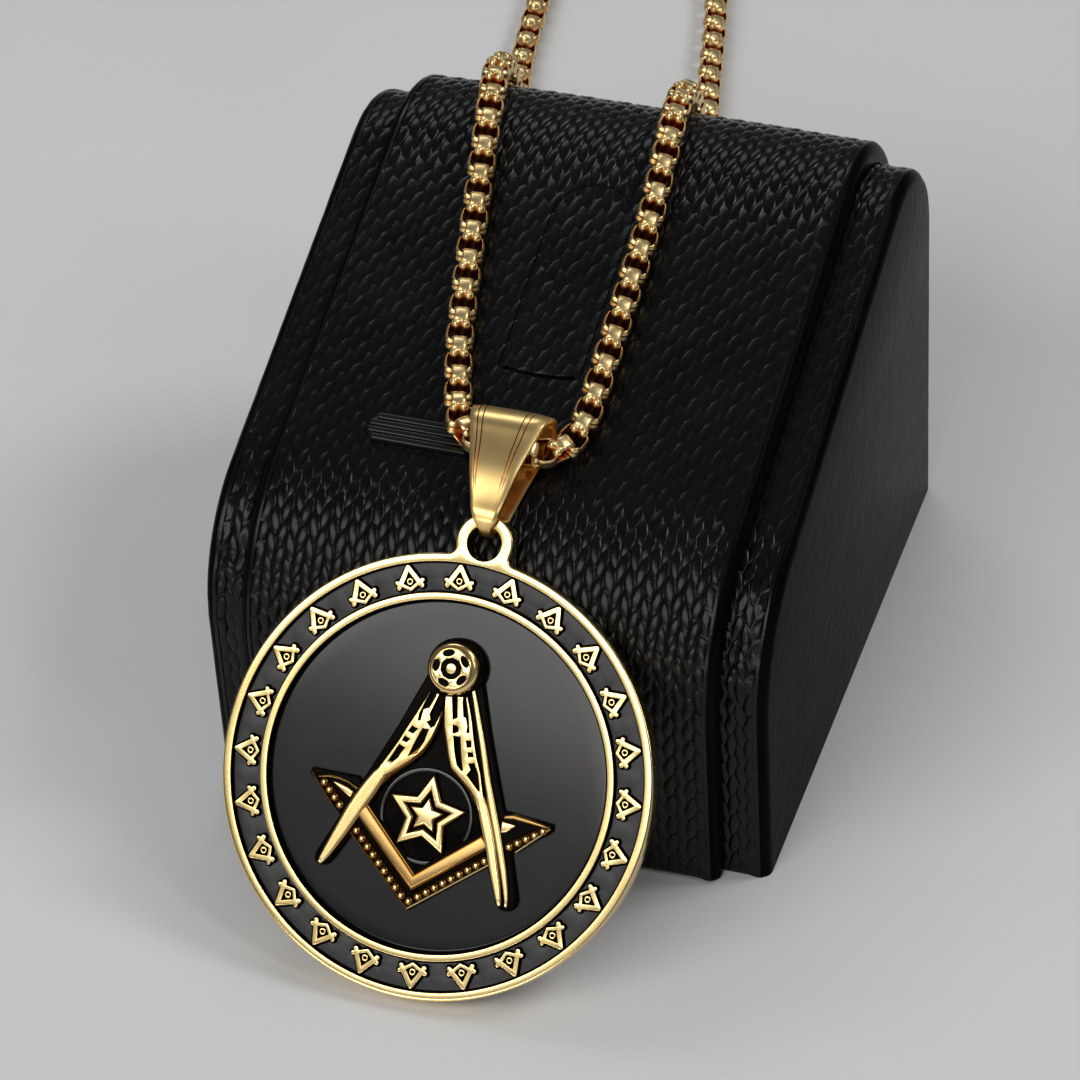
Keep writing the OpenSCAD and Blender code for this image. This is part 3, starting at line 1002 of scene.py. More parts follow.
LEFT_WEB = [
    (-1.98, 7.3), (-2.73, 5.29), (-3.35, 3.78), (-3.82, 2.53), (-4.39, 1.25), (-5.02, -0.04), (-5.6, -1.3),
    (-4.85, -1.6), (-4.51, -0.85), (-3.24, 0.3), (-2.06, 1.42), (-1.34, 2.41), (-0.93, 3.42), (-0.6, 4.79),
    (-0.43, 5.9), (-0.95, 7.4),
]
LEFT_HOLES = [
    [(-1.8, 7.7), (-1.25, 7.7), (-1.33, 7.1), (-1.69, 5.99), (-2.2, 5.75), (-2.27, 4.7), (-2.5, 4.64),
     (-2.47, 5.25)],
    [(-0.95, 7.7), (-0.1, 7.7), (-0.42, 6.1), (-0.72, 5.1), (-0.9, 4.5), (-1.18, 4.25), (-1.3, 4.4),
     (-1.65, 4.7), (-1.3, 4.95), (-1.52, 5.45)],
    [(-1.91, 4.05), (-1.36, 4.08), (-1.52, 2.98), (-1.97, 1.76), (-2.75, 1.3), (-2.37, 2.56)],
    [(-2.9, 4.07), (-2.35, 3.9), (-2.67, 3.4), (-3.18, 3.5)],
    [(-3.35, 3.05), (-2.87, 2.86), (-3.09, 2.5), (-3.56, 2.56)],
    [(-3.73, 2.2), (-3.16, 1.99), (-3.45, 1.4), (-3.6, 1.0), (-3.93, 0.59), (-4.6, -0.26), (-4.7, -0.16),
     (-4.16, 1.06)],
]
RIGHT_WEB = [
    (1.55, 7.7), (2.06, 6.55), (2.47, 5.5), (2.94, 4.09), (3.48, 2.7), (4.15, 1.34), (4.66, -0.06),
    (4.95, -0.84), (5.3, -1.7), (4.65, -1.9), (4.1, -0.84), (3.46, -0.19), (2.34, 0.61), (1.41, 1.23),
    (0.95, 2.26), (0.54, 3.39), (0.0, 4.78), (-0.27, 6.01), (-0.43, 7.3),
]
RIGHT_HOLES = [
    [(0.12, 7.8), (0.6, 7.8), (0.66, 7.37), (1.02, 5.7), (0.65, 5.43), (0.2, 7.3)],
    [(1.15, 7.9), (1.38, 7.9), (1.55, 7.21), (1.98, 6.03), (2.4, 4.62), (2.14, 4.59), (2.14, 5.13),
     (1.81, 5.89), (1.57, 5.91), (1.24, 7.13)],
    [(0.78, 4.97), (1.1, 5.02), (1.3, 4.85), (1.37, 4.49), (0.99, 4.25), (0.88, 4.35)],
    [(1.03, 4.03), (1.65, 4.1), (1.91, 3.1), (2.22, 2.03), (2.51, 1.26), (2.41, 1.16), (1.89, 1.57),
     (1.46, 2.61)],
    [(2.26, 3.86), (2.7, 4.0), (2.84, 3.43), (2.46, 3.3)],
    [(2.63, 2.89), (3.06, 3.0), (3.22, 2.62), (2.75, 2.5)],
    [(2.92, 1.93), (3.42, 2.12), (3.93, 1.25), (4.42, -0.15), (4.33, -0.26), (2.95, 0.9), (3.26, 1.44)],
]
BLADES = [
    [(-4.3, 0.35, 0.25), (-4.62, -0.2, 0.45), (-5.05, -1.0, 0.72), (-5.62, -2.2, 0.84), (-6.18, -3.4, 0.86),
     (-6.78, -4.8, 0.82), (-7.36, -6.32, 0.72), (-7.92, -7.75, 0.6), (-8.42, -9.0, 0.46),
     (-8.62, -9.45, 0.38), (-8.75, -9.75, 0.26)],
    [(4.3, -0.35, 0.2), (4.62, -0.85, 0.44), (5.02, -1.65, 0.55), (5.45, -2.6, 0.58), (5.9, -3.58, 0.58),
     (6.5, -4.95, 0.54), (7.12, -6.6, 0.5), (7.72, -8.1, 0.42), (8.1, -9.1, 0.32), (8.3, -9.65, 0.2)],
]
SKIRTS = [
    [(-0.5, 5.6, 0.2), (-0.8, 4.4, 0.3), (-1.2, 3.2, 0.38), (-1.75, 2.1, 0.46), (-2.6, 1.1, 0.5),
     (-4.1, -0.35, 0.5), (-5.0, -1.5, 0.6)],
    [(-0.35, 7.4, 0.25), (-0.15, 5.9, 0.34), (0.1, 4.75, 0.38), (0.65, 3.3, 0.4), (1.1, 2.2, 0.38),
     (1.6, 1.2, 0.34), (2.5, 0.55, 0.3), (3.6, -0.3, 0.34), (4.5, -1.3, 0.45)],
]
RIGHT_RIDGE = [
    (1.95, 8.3, 0.22), (2.4, 7.2, 0.26), (2.95, 5.8, 0.3), (3.59, 4.25, 0.33), (4.15, 2.8, 0.35),
    (4.9, 0.76, 0.37), (5.64, -0.98, 0.4), (6.54, -3.04, 0.4), (7.26, -4.78, 0.38), (7.98, -6.58, 0.36),
    (8.56, -8.2, 0.3), (8.82, -9.1, 0.24), (8.9, -9.65, 0.16),
]
SQUARE_BAR = [(-5.6, -3.6), (0, -8.75), (5.45, -3.8), (6.5, -4.95), (0.05, -10.5), (-6.7, -4.75)]
SQUARE_TONE = 0.54
WING_BARS = [
    ([(-10.5, -2.35, 0.12), (-9.48, -2.1, 0.16), (-8.52, -2.08, 0.17), (-7.69, -2.2, 0.16),
      (-6.81, -2.6, 0.14)], 0.6),
    ([(7.2, -1.95, 0.24), (7.94, -1.75, 0.3), (9.62, -1.83, 0.27), (11.2, -1.95, 0.16)], 0.55),
]
WEDGES = [
    [(-9.28, -2.45), (-8.47, -2.42), (-7.61, -2.62), (-6.91, -2.94), (-7.2, -3.66), (-7.98, -3.25)],
    [(6.9, -2.3), (8.5, -2.38), (7.6, -3.3), (7.0, -3.5)],
]
# The square's outer edge, as (end, end, tone), and its rows of beads, as (end, end, count)
# The left edge lines have tone 0.35 against 1.0 on the right: painted shade on the left side
SQUARE_EDGE = [
    ((-11.2, -2.15), (-8.85, -4.5), 0.35), ((-6.9, -6.3), (0, -12.0), 0.35),
    ((0, -12.0), (6.95, -6.1), 1.0), ((8.75, -4.75), (11.35, -2.1), 1.0),
]
BEAD_ROWS = [
    ((-9.95, -2.75), (-8.1, -4.42), 4), ((-6.1, -6.3), (-0.8, -11.0), 9), ((0.0, -11.35), (0.01, -11.35), 1),
    ((0.75, -10.75), (6.1, -6.2), 9), ((8.05, -4.45), (10.8, -2.38), 5),
]
BEAD_R = 0.47
BEAD_H = 0.38
BEAD_SIDES = 8
# Beads brown on their sides and gold on the top point: antique patina and painted shade
BEAD_RISES = (0.1, 0.3, 0.44, 0.52)
FLANGE_SHAPES = [
    [(-0.3, 9), (-2.6, 9), (-4.4, 3.7), (-6.3, -1.1), (-9.45, -9.0), (-9.5, -9.6), (-9.25, -10.0),
     (-8.75, -10.15), (-8.25, -10.0), (-7.8, -9.4), (-5.3, -4.2), (-4.3, -0.9), (-2, 0.8), (-0.9, 3.4)],
    [(0.2, 9), (2.65, 9), (4.2, 4.9), (6.1, 0.4), (7.9, -3.8), (9.75, -9.0), (9.7, -9.6), (9.35, -10.05),
     (8.8, -10.2), (8.2, -10.1), (7.8, -9.7), (7.5, -9.0), (5.0, -3.9), (3.7, -1.1), (1.2, 1.1), (0.2, 3.4)],
    [(0, -12.25), (11.6, -2.3), (11.5, -1.6), (7.0, -1.4), (5.1, -3.6), (0, -8.4), (-5.3, -3.6),
     (-7.0, -1.5), (-11.4, -1.7), (-11.5, -2.3)],
]
GROUND = [
    (-0.5, 5.6), (0.35, 5.6), (0.75, 3.6), (1.4, 1.5), (4.2, -0.9), (5.3, -3.6), (5.2, -4.2), (0, -9.1),
    (-5.4, -4.2), (-5.2, -3.4), (-4.9, -0.9), (-2.3, 0.9), (-1.1, 3.6),
]

# Swept bars: how their sides rise, how their tone darkens over their shoulders and ends (antique patina and
# painted shade), and how far apart their sections are
BAR_WALL = 0.3
BAR_FULLNESS = 0.8
BAR_TONE_FOOT = 0.1
BAR_TONE_POWER = 2.2
BAR_STEP = 0.6
BAR_END_STEPS = 4


def end_rows(middle, way, half, steps):
    """Rows (place, way, half width, height) of a bar's round end, for steps from its middle outward."""
    rows = []
    for step in steps:
        turn = math.pi / 2 * step / (BAR_END_STEPS * 1.1)
        rows.append((middle + way * half * math.sin(turn), way, half * math.cos(turn), math.cos(turn)))
    return rows


def swept_bar(stations, low, high, across=8, level=0.0, bright=1.0):
    """Bar with rounded shoulders and ends along its stations; level is the flat share of its top."""
    shoulders = []
    for i in range(across // 2 + 1):
        turn = math.pi * i / across
        shoulders.append((level + (1 - level) * math.cos(turn), math.sin(turn)))
    shoulders += [(level * 0.85, 1.0)] if level else []
    shoulders += [(-v, lift) for v, lift in shoulders[::-1] if v > 1e-6]
    middles = [Vector(station[:2]) for station in stations]
    halves = [station[2] for station in stations]
    last = len(stations) - 1
    ways = [(middles[min(i + 1, last)] - middles[max(i - 1, 0)]).normalized() for i in range(last + 1)]
    rows = end_rows(middles[0], ways[0], halves[0], range(-BAR_END_STEPS, 0))
    for i in range(last):
        steps = max(1, round((middles[i + 1] - middles[i]).length / BAR_STEP))
        for k in range(steps):
            share = k / steps
            half = halves[i] + (halves[i + 1] - halves[i]) * share
            way = ways[i].lerp(ways[i + 1], share).normalized()
            rows.append((middles[i].lerp(middles[i + 1], share), way, half, 1.0))
    rows += end_rows(middles[-1], ways[-1], halves[-1], range(BAR_END_STEPS + 1))
    shell = Shell()
    rings = []
    for middle, way, half, tall in rows:
        side = left_of(way) * half
        ring = [shell.point((*(middle + side), low), 0.0)]
        for v, up in shoulders:
            lift = BAR_WALL + (1 - BAR_WALL) * tall * up ** BAR_FULLNESS
            # rise, scaled by bright, falls over the shoulders and ends: antique patina and painted shade
            rise = bright * (BAR_TONE_FOOT + (1 - BAR_TONE_FOOT) * up ** BAR_TONE_POWER * tall)
            ring.append(shell.point((*(middle + side * v), low + (high - low) * lift), rise))
        ring.append(shell.point((*(middle - side), low), 0.0))
        rings.append(ring)
    shell.bands(rings, ends=True)
    return shell


def star(radius, waist):
    points = []
    for i in range(10):
        reach = radius * waist if i % 2 else radius
        points.append((reach * math.sin(math.pi * i / 5), STAR_Y + reach * math.cos(math.pi * i / 5)))
    return points


def bead(centre, base):
    shell = Shell()
    rings = []
    for step, rise in enumerate(BEAD_RISES):
        turn = math.pi / 2 * step / len(BEAD_RISES)
        ring = circle(BEAD_R * math.cos(turn), BEAD_SIDES, base + BEAD_H * math.sin(turn), centre)
        rings.append(shell.ring(ring, rise))
    shell.bands(rings)
    shell.peak(rings[-1], (*centre, base + BEAD_H))
    shell.face(rings[0][::-1])
    return shell


# Rounded rim of the compasses' head, as (radius, height, rise); its face is shifted against its foot
HEAD_AT = (-0.05, 9.92)
HEAD_SHIFT = -0.15
HEAD_FOOT_R = 2.72
HEAD_FACE_R = 1.75
HEAD_RING_R = 0.98
HEAD_DOT_R = 0.52
HEAD_FACE_Z = EMBLEM_Z + 1.93
HEAD_FLOOR_Z = EMBLEM_Z + 1.7
HEAD_RIM = [
    (2.3, 0.9, 0.2), (2.38, 1.2, 0.4), (2.33, 1.5, 0.7), (2.22, 1.7, 0.9), (2.1, 1.83, 1.0),
    (1.98, 1.88, 1.0), (1.93, 1.8, 0.2), (1.89, 1.8, 0.2), (1.86, 1.9, 0.9), (1.8, 1.94, 1.0),
    (1.76, 1.93, 1.0), (1.72, 1.84, 0.6),
]
PETAL_AT = 1.4
PETAL_IN = 0.3
PETAL_ALONG = 0.56


def petal(middle, turn, count=14):
    """Ellipse of the head's rosette, its long side across the way out of the middle."""
    at = polar(PETAL_AT, turn, middle)
    points = []
    for k in range(count):
        out = PETAL_IN * math.cos(2 * math.pi * k / count)
        along = PETAL_ALONG * math.sin(2 * math.pi * k / count)
        points.append((
            at[0] + out * math.cos(turn) - along * math.sin(turn),
            at[1] + out * math.sin(turn) + along * math.cos(turn),
        ))
    return points


def compasses_head():
    """Domed hinge with a sunk rosette: a dot, a black ring and five black petals."""
    shell = raised([circle(HEAD_FOOT_R, 48, centre=HEAD_AT)], EMBLEM_Z, EMBLEM_Z + 0.95, 0.35, finish=1)
    rings = []
    for i, (r, height, rise) in enumerate(HEAD_RIM):
        middle = (HEAD_AT[0] + HEAD_SHIFT * min(1.0, i / 5), HEAD_AT[1])
        rings.append(shell.ring(circle(r, 60, EMBLEM_Z + height, middle), rise))
    shell.bands(rings)
    petals = [petal(middle, math.radians(111 - 73 * i)) for i in range(5)]
    ring = circle(HEAD_RING_R, 10, centre=middle, start=math.pi / 2)
    face = circle(HEAD_FACE_R, 60, centre=middle)
    floor = circle(HEAD_FACE_R, 40, centre=middle)
    dot = circle(HEAD_DOT_R, 18, centre=middle)
    shell.join(raised([face], HEAD_FLOOR_Z - 0.2, HEAD_FACE_Z, 0.05, [*petals, ring], steps=2))
    shell.join(raised([floor], HEAD_FLOOR_Z - 0.3, HEAD_FLOOR_Z, 0.02, steps=1, finish=1))
    shell.join(raised([dot], HEAD_FLOOR_Z - 0.1, HEAD_FACE_Z + 0.01, 0.12))
    return shell


def add_emblem(antique, recess, gloss):
    """Square and compasses with a star, on a dark flange and a glossy ring."""
    z = EMBLEM_Z
    ring, ring_hole = (circle(radius, 72, centre=STAR_RING_AT) for radius in STAR_RING_RADII)
    square = raised([SQUARE_BAR], z + 0.3, z + 0.88, 0.4, steps=5)
    square.rise = [rise * SQUARE_TONE for rise in square.rise]
    parts = [
        raised(FLANGE_SHAPES, z - 0.08, z + 0.5, 0.26, steps=4, finish=1),
        raised([GROUND], z, z + 0.2, 0.05, finish=1),
        raised([ring], z + 0.1, z + 0.42, 0.16, [ring_hole], finish=2),
        square,
    ]
    parts += [swept_bar(bar, z + 0.35, z + 0.85, bright=tone) for bar, tone in WING_BARS]
    parts += [raised([wedge], z + 0.3, z + 0.85, 0.22, steps=4) for wedge in WEDGES]
    for a, b, tone in SQUARE_EDGE:
        parts.append(swept_bar([(*a, 0.13), (*b, 0.13)], z + 0.3, z + 0.74, across=6, bright=tone))
    for a, b, count in BEAD_ROWS:
        # The strips under the beads take bright 0, black-brown: antique patina and painted shade between the
        # beads
        parts.append(swept_bar([(*a, 0.5), (*b, 0.5)], z + 0.3, z + 0.56, level=0.6, bright=0.0))
        for i in range(count):
            parts.append(bead(Vector(a).lerp(Vector(b), i / max(1, count - 1)), z + 0.46))
    parts += [swept_bar(skirt, z + 0.3, z + 0.9, bright=0.3) for skirt in SKIRTS]
    for web, holes in ((LEFT_WEB, LEFT_HOLES), (RIGHT_WEB, RIGHT_HOLES)):
        parts.append(raised([web], z + 0.4, z + 0.97, 0.06, holes))
    parts += [swept_bar(blade, z + 0.35, z + 0.98, across=10, level=0.42) for blade in BLADES]
    parts += [
        swept_bar(RIGHT_RIDGE, z + 0.35, z + 0.86, level=0.35),
        raised([star(3.9, 0.5)], z + 0.15, z + 0.9, 0.28, [star(2.2, 0.5)], steps=4),
        raised([star(1.85, 0.48)], z + 0.15, z + 0.88, 0.3, steps=4),
        compasses_head(),
    ]
    shell = Shell()
    for part in parts:
        shell.join(part)
    add_piece("square_and_compasses", shell, [antique, recess, gloss], "emblem", AT_MEDAL)


# Bail: half widths and middles along its axis, and its edge and grooves, as (distance across, lift)

BAIL_FRONT_WIDTHS = [
    (-2.0, 0.62), (-1.8, 0.68), (-1.6, 0.84), (-1.4, 1.0), (-1.1, 1.14), (-0.5, 1.32), (0.5, 1.56), (2, 1.93),
    (5, 2.63), (8.3, 3.45), (10.1, 3.85),
]
BAIL_BACK_WIDTHS = [
    (-2.0, 0.62), (-1.0, 0.68), (-0.75, 0.8), (-0.4, 1.2), (0.2, 1.5), (5, 2.6), (10.1, 3.85),
]
BAIL_CENTRES = [(-2.0, 0.3), (0, 0.15), (3, 0.05), (10.1, 0.0)]
BAIL_BULGE = 0.26
BAIL_EDGE = [(0.0, -0.27), (0.0, -0.1), (0.03, -0.03), (0.1, 0.0)]
BAIL_GROOVE = [(-0.11, 0.0), (-0.06, 0.0), (-0.02, -1.0), (0.02, -1.0), (0.06, 0.0), (0.11, 0.0)]
BAIL_LINES = {-1: (0.115, 0.185), 1: (0.2, 0.275)}
BAIL_LINE_DEPTH = 0.09
BAIL_CROWN = ((0.06, 2), (0.16, 8))
BAIL_ARC_STEPS = 16
BAIL_SIDE_STEPS = 24
BAIL_FOLD_STEPS = 40


def looked_up(table, at):
    for (a, va), (b, vb) in zip(table, table[1:]):
        if at <= b:
            return va + (vb - va) * max(0, at - a) / (b - a)
    return table[-1][1]


def bail_path():
    """Places and outward normals round the bail from its foot up the front, over the fold, down the back."""
    taper = math.asin((BAIL_TOP_R - BAIL_FOOT_R) / BAIL_L)
    quarter = math.pi / 2 - taper
    up = Vector((-math.sin(taper), math.cos(taper)))
    down = Vector((-math.sin(taper), -math.cos(taper)))
    top = Vector((BAIL_L, 0))
    arc_shares = [i / BAIL_ARC_STEPS for i in range(BAIL_ARC_STEPS + 1)]
    places = [BAIL_FOOT_R * heading(math.pi - quarter * share) for share in arc_shares]
    for i in range(1, BAIL_SIDE_STEPS):
        share = i / BAIL_SIDE_STEPS
        bulge = BAIL_BULGE * math.sin(math.pi * share) ** 2
        places.append((BAIL_FOOT_R * up).lerp(top + BAIL_TOP_R * up, share) + bulge * up)
    for i in range(BAIL_FOLD_STEPS + 1):
        turn = math.pi / 2 + taper - (math.pi + 2 * taper) * i / BAIL_FOLD_STEPS
        places.append(top + BAIL_TOP_R * heading(turn))
    places += [(top + BAIL_TOP_R * down).lerp(BAIL_FOOT_R * down, share) for share in arc_shares[1:-1]]
    places += [BAIL_FOOT_R * heading(-math.pi / 2 - taper - quarter * share) for share in arc_shares[:-1]]
    spans = zip(places, places[-1:] + places, places[1:] + places[:1])
    return [(place, left_of((b - a).normalized())) for place, a, b in spans]


def bail_half_section(half, fade, side):
    """Points (across, height, rise) from the edge to near the middle, on the side that the sign gives."""
    tight = min(1.0, half / 1.9)
    points = [(edge * tight, lift, 1.0) for edge, lift in BAIL_EDGE]
    for line in BAIL_LINES[side]:
        at = 2 * half * line * (0.8 + 0.2 * fade)
        for away, lift in BAIL_GROOVE:
            # rise falls to 0 at each groove's bottom: painted shade in the engraved lines
            points.append((at + away, lift * BAIL_LINE_DEPTH * fade, 1.0 + lift * fade))
    out = []
    for inward, lift, rise in points:
        v = half - inward
        crown = sum(depth * (v / half) ** power for depth, power in BAIL_CROWN)
        out.append((side * v, lift - crown, rise))
    return out


def add_bail(satin):
    shell = Shell()
    rings = []
    for place, normal in bail_path():
        front = normal.y >= (-0.6 if place.x > BAIL_L else -0.05)
        half = looked_up(BAIL_FRONT_WIDTHS if front else BAIL_BACK_WIDTHS, place.x)
        middle = looked_up(BAIL_CENTRES, place.x)
        fade = min(1.0, max(0.0, (place.x - 1.2) / 4.0))
        section = bail_half_section(half, fade, 1)
        section += [(half * k, -BAIL_CROWN[0][0] * k * k, 1.0) for k in (0.2, 0.0, -0.2)]
        section += bail_half_section(half, fade, -1)[::-1]
        section += [(0.04 - half, -BAIL_T + 0.03, 1.0)]
        section += [(half * k, -BAIL_T, 0.8) for k in (-0.95, -0.6, -0.3, 0.0, 0.3, 0.6, 0.95)]
        section += [(half - 0.04, -BAIL_T + 0.03, 1.0)]
        ring = []
        for x, out, rise in section:
            # glint streaks rise on the inner side: painted orange reflection and painted glints
            glint = 0.7 * noise.noise((x * 1.1, place.x * 0.9, 2.0)) if out <= -BAIL_T else 0.0
            ring.append(shell.point((middle + x, *(place + normal * out)), rise + glint))
        rings.append(ring)
    shell.bands((rings + rings[:1])[::-1])
    add_piece("pinch_bail", shell, [satin], "bail", AT_BAIL, crease=42)


# Chain

def smooth_route():
    """Evenly dense points on a smooth curve through the route, with the index of the middle one."""
    pts = [Vector(p) for p in CHAIN_ROUTE]
    pts = [pts[0] + (pts[0] - pts[1]), *pts, pts[-1] + (pts[-1] - pts[-2])]
    out = []
    for i, (before, a, b, after) in enumerate(zip(pts, pts[1:], pts[2:], pts[3:])):
        if i == CHAIN_MIDDLE:
            middle = len(out)
        span = (b - a).length
        ta = (b - before) / (span + (a - before).length) * span
        tb = (after - a) / ((after - b).length + span) * span
        count = max(4, round(span / 0.25))
        for k in range(count):
            t = k / count
            t2 = t * t
            t3 = t2 * t
            out.append(
                (2 * t3 - 3 * t2 + 1) * a + (t3 - 2 * t2 + t) * ta + (-2 * t3 + 3 * t2) * b + (t3 - t2) * tb
            )
    out.append(pts[-2])
    return out, middle


def carried_normals(points, middle):
    """Normal at every point, carried without twist from an anchor on each strand."""
    last = len(points) - 1
    normals = [None] * len(points)
    for strand in (range(middle), range(middle, last + 1)):
        anchor = min(strand, key=lambda i: (points[i] - CHAIN_ANCHOR).length)
        for order in (range(anchor, strand[0] - 1, -1), range(anchor, strand[-1] + 1)):
            now = CHAIN_FACES
            for i in order:
                tangent = (points[min(i + 1, last)] - points[max(i - 1, 0)]).normalized()
                now = (now - now.dot(tangent) * tangent).normalized()
                normals[i] = now
    return normals


# One link: a band bent into a rounded square, with angles in degrees and the rest in mm
LINK_L = 2.5
LINK_H = CHAIN_D - 0.06
LINK_T = 0.27
LINK_POWER = 3.3
LINK_DOME = 0.06
LINK_DENT = 0.24
LINK_LOBE = 0.09
LINK_LOBE_AT = 0.52
LINK_GROOVE = 0.12
LINK_HALF_W = 0.67
LINK_LOBES_WIDER = 0.18
LINK_SHOULDERS_WIDER = 0.09
LINK_EDGE_FALL = 0.12
LINK_EDGE_FROM = 0.78
LINK_TURNS = (6, 20, 32, 43, 51, 57, 62, 67, 74, 90, 110, 128, 146, 160, 174)
LINK_FEW_TURNS = (11, 34, 56, 79, 101, 124, 146, 169)
LINK_ACROSS = (0.0, 0.13, 0.32, 0.52, 0.74, 0.92, 1.0)
LINK_FEW_ACROSS = (0.0, 0.5, 0.85, 1.0)
LINK_HOLD = 1.1
NEAR_Y = 78


def link_shell(turns, tops):
    """One box link: a domed band bent into a rounded square, its corners at one end split into two lobes."""
    shell = Shell()
    halves = (LINK_L / 2, LINK_H / 2)
    rings = []
    for degrees in turns + tuple(360 - turn for turn in turns[::-1]):
        way = (math.cos(math.radians(degrees)), math.sin(math.radians(degrees)))
        reach = sum(abs(share) ** LINK_POWER for share in way) ** (-1 / LINK_POWER)
        at = Vector([half * share * reach for half, share in zip(halves, way)])
        normal = Vector([
            math.copysign(abs(v / half) ** (LINK_POWER - 1), v) / half for v, half in zip(at, halves)
        ]).normalized()
        ahead = at.x / halves[0]
        lobed = blend(ahead, 0.44, 0.62)
        ball = LINK_LOBE * window(ahead, 0.46, 0.72, 0.86, 1.0)
        groove = LINK_GROOVE * window(ahead, 0.3, 0.44, 0.46, 0.6)
        width = LINK_HALF_W + LINK_LOBES_WIDER * lobed + LINK_SHOULDERS_WIDER * blend(-normal.x, 0.1, 0.6)
        end = blend(normal.x, 0.93, 0.99)
        section = []
        for v in tops[::-1] + tuple(-v for v in tops[1:]):
            dome = -LINK_DOME * v * v - groove
            lobes = ball - (LINK_DENT + ball) * (abs(abs(v) - LINK_LOBE_AT) / LINK_LOBE_AT) ** 1.7
            edge = -LINK_EDGE_FALL * max(0.0, abs(v) - LINK_EDGE_FROM) / (1 - LINK_EDGE_FROM)
            section.append((v, dome + (lobes - dome) * lobed + edge))
        section += [(-0.97, -LINK_T + 0.06), (-0.85, -LINK_T), (0.85, -LINK_T), (0.97, -LINK_T + 0.06)]
        ring = []
        for v, out in section:
            # Painted shade: rise falls in the notch between the lobes and on the end faces, and is 0 on the
            # band's inside, which the chain's gold paints red-brown as shade and reflection
            notch = lobed * (1 - blend(abs(v), 0.1, 0.3))
            rise = max(0.0, 1 - 0.55 * notch - 0.9 * end * (1 - 0.6 * notch))
            ring.append(shell.point((*(at + normal * out), v * width), rise if out > -LINK_T else 0.0))
        rings.append(ring)
    shell.bands(rings + rings[:1])
    return shell


def add_chain(plated):
    """Links along the route, each turned a quarter from the last; those far from the block are plainer."""
    points, middle = smooth_route()
    normals = carried_normals(points, middle)
    reach = [0.0]
    for a, b in zip(points, points[1:]):
        reach.append(reach[-1] + (b - a).length)
    count = round((reach[-1] - LINK_L * 0.6) / LINK_PITCH)
    near = Shell()
    far = Shell()
    fine = link_shell(LINK_TURNS, LINK_ACROSS)
    plain = link_shell(LINK_FEW_TURNS, LINK_FEW_ACROSS)
    draw = random.Random(5)

    def spot(goal):
        index = min(len(points) - 2, max(0, bisect(reach, goal) - 1))
        share = (goal - reach[index]) / (reach[index + 1] - reach[index])
        return index, points[index].lerp(points[index + 1], share)

    for link in range(count):
        goal = LINK_L * 0.4 + link * (reach[-1] - LINK_L * 0.8) / (count - 1)
        index, _ = spot(goal)
        before = spot(max(0.0, goal - LINK_HOLD))[1]
        after = spot(min(reach[-1], goal + LINK_HOLD))[1]
        at = (before + after) / 2
        along = (after - before).normalized()
        if goal > reach[middle]:
            along = -along
        out = (normals[index] - normals[index].dot(along) * along).normalized()
        slack = math.radians(draw.uniform(-3.0, 3.0) + 90 * (link % 2))
        across = math.cos(slack) * out + math.sin(slack) * along.cross(out)
        place = Matrix((along, across, along.cross(across))).transposed().to_4x4()
        place.translation = at
        strand, shape = (near, fine) if at.y < NEAR_Y else (far, plain)
        strand.join(shape, place)
    for name, strand in (("chain_near", near), ("chain_far", far)):
        add_piece(name, strand, [plated], "chain", crease=46)


# Half of the barrel clasp, as (radius, distance from its end)
CLASP_PROFILE = [
    (0.35, 0), (0.9, 0), (1.13, 0.08), (1.2, 0.25), (1.2, 0.8), (1.05, 0.95), (1.05, 1.15), (1.2, 1.3),
    (1.2, 1.9), (1.38, 2.0), (1.45, 2.15),
]


def add_clasp(plated):
    first = Vector(CHAIN_ROUTE[0])
    last = Vector(CHAIN_ROUTE[-1])
    half = (last - first).length / 2 - CLASP_GAP
    profile = [(r, z - half, 1.0) for r, z in CLASP_PROFILE]
    profile += [(r, -z, 1.0) for r, z, _ in profile[::-1]]
    turn = math.atan2(last.y - first.y, last.x - first.x)
    lying = Matrix.Rotation(turn, 4, "Z") @ Matrix.Rotation(math.pi / 2, 4, "Y")
    place = Matrix.Translation((first + last) / 2) @ lying
    add_piece("barrel_clasp", turned(profile, 40), [plated], "clasp", place, crease=40)


# Studio

FLOOR_HALF = 3.0
STUDIO_TARGET = Vector((0, -0.02, 0.03))
WARM = (1.0, 0.99, 0.95)
NEUTRAL = (1.0, 0.99, 0.97)

# Name, direction from the part, distance and size in m, power in W, tint
LIGHTS = [
    ("front_softbox", (-0.25, -0.66, 0.71), 1.0, (0.9, 0.42), 4.2, WARM),
    ("lower_fill", (-0.25, -0.66, 0.38), 1.0, (0.9, 0.17), 0.25, WARM),
    ("low_strip", (-0.2, -1.0, 0.18), 0.9, (0.5, 0.12), 1.0, (1.0, 0.97, 0.93)),
    ("back_softbox", (-0.28, 0.6, 0.75), 1.0, (0.7, 0.25), 1.5, (0.92, 0.97, 1.0)),
    ("edge_strip", (0.67, -0.24, 0.65), 1.0, (0.16, 0.4), 0.9, NEUTRAL),
    ("side_key", (0.6, 0.3, 0.75), 1.3, (0.4, 0.4), 3.6, NEUTRAL),
]


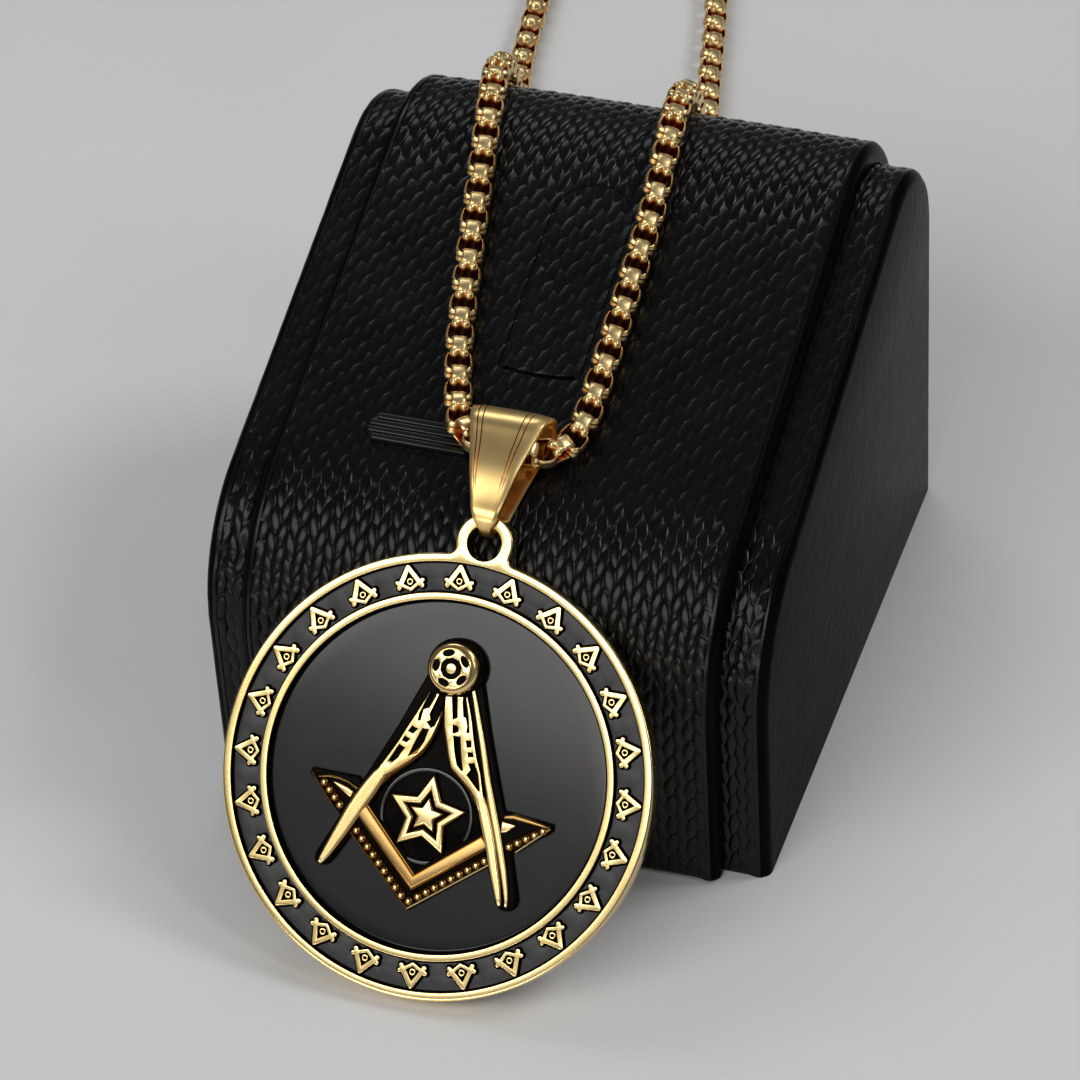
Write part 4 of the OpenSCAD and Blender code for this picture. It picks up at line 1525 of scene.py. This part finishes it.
def add_floor():
    corners = [(x * FLOOR_HALF, y * FLOOR_HALF, 0) for x, y in ((-1, -1), (1, -1), (1, 1), (-1, 1))]
    mesh = bpy.data.meshes.new("studio_floor")
    mesh.from_pydata(corners, [], [(0, 1, 2, 3)])
    mesh.materials.append(pale_floor())
    linked("studio_floor", mesh)


def add_light(name, direction, distance, size, power, tint):
    data = bpy.data.lights.new(name, "AREA")
    data.shape = "RECTANGLE"
    data.size, data.size_y = size
    data.energy = power
    data.color = tint
    light = linked(name, data)
    way = Vector(direction).normalized()
    light.location = STUDIO_TARGET + way * distance
    light.rotation_euler = way.to_track_quat("Z", "Y").to_euler()


def add_studio():
    add_floor()
    world = bpy.data.worlds.new("studio")
    world.use_nodes = True
    back = world.node_tree.nodes["Background"]
    back.inputs["Color"].default_value = (0.93, 0.96, 1.0, 1)
    back.inputs["Strength"].default_value = 0.15
    bpy.context.scene.world = world
    bpy.context.scene.view_settings.view_transform = "Standard"
    for light in LIGHTS:
        add_light(*light)


add_camera()
leather = leatherette("black_leatherette", 0.22)
dull = leatherette("dull_leatherette", 0.01, grain=0.06)
recess = black_fill_and_shade()
polished = gold("polished_gold", (0.95, 0.73, 0.34), (0.91, 0.67, 0.28), 0.12, 0.2, 0.002, AT_MEDAL)
plated = gold(
    "chain_gold", (0.92, 0.70, 0.36), (0.84, 0.61, 0.27), 0.24, 0.38, 0.003, patina_and_shade=LINK_INSIDE_SHADE, hammered=0.01
)
satin = gold("satin_gold", (0.93, 0.66, 0.28), (0.87, 0.59, 0.22), 0.26, 0.36, 0.002, AT_BAIL, BAIL_SHADE_AND_GLINTS)
antique = gold("antique_gold", (0.93, 0.72, 0.34), (0.88, 0.63, 0.27), 0.16, 0.26, 0.0025, AT_MEDAL)
add_block(leather, dull)
add_pad(leather, dull)
add_ribbed_bar(gloss_black("gloss_black", 0.4, rough=0.24))
add_medal(polished, recess)
add_border_enamel(charcoal_enamel())
add_centre_plate(black_enamel())
add_emblem(antique, recess, gloss_black("glossy_ring", 0.8))
add_bail(satin)
add_chain(plated)
add_clasp(plated)
add_studio()
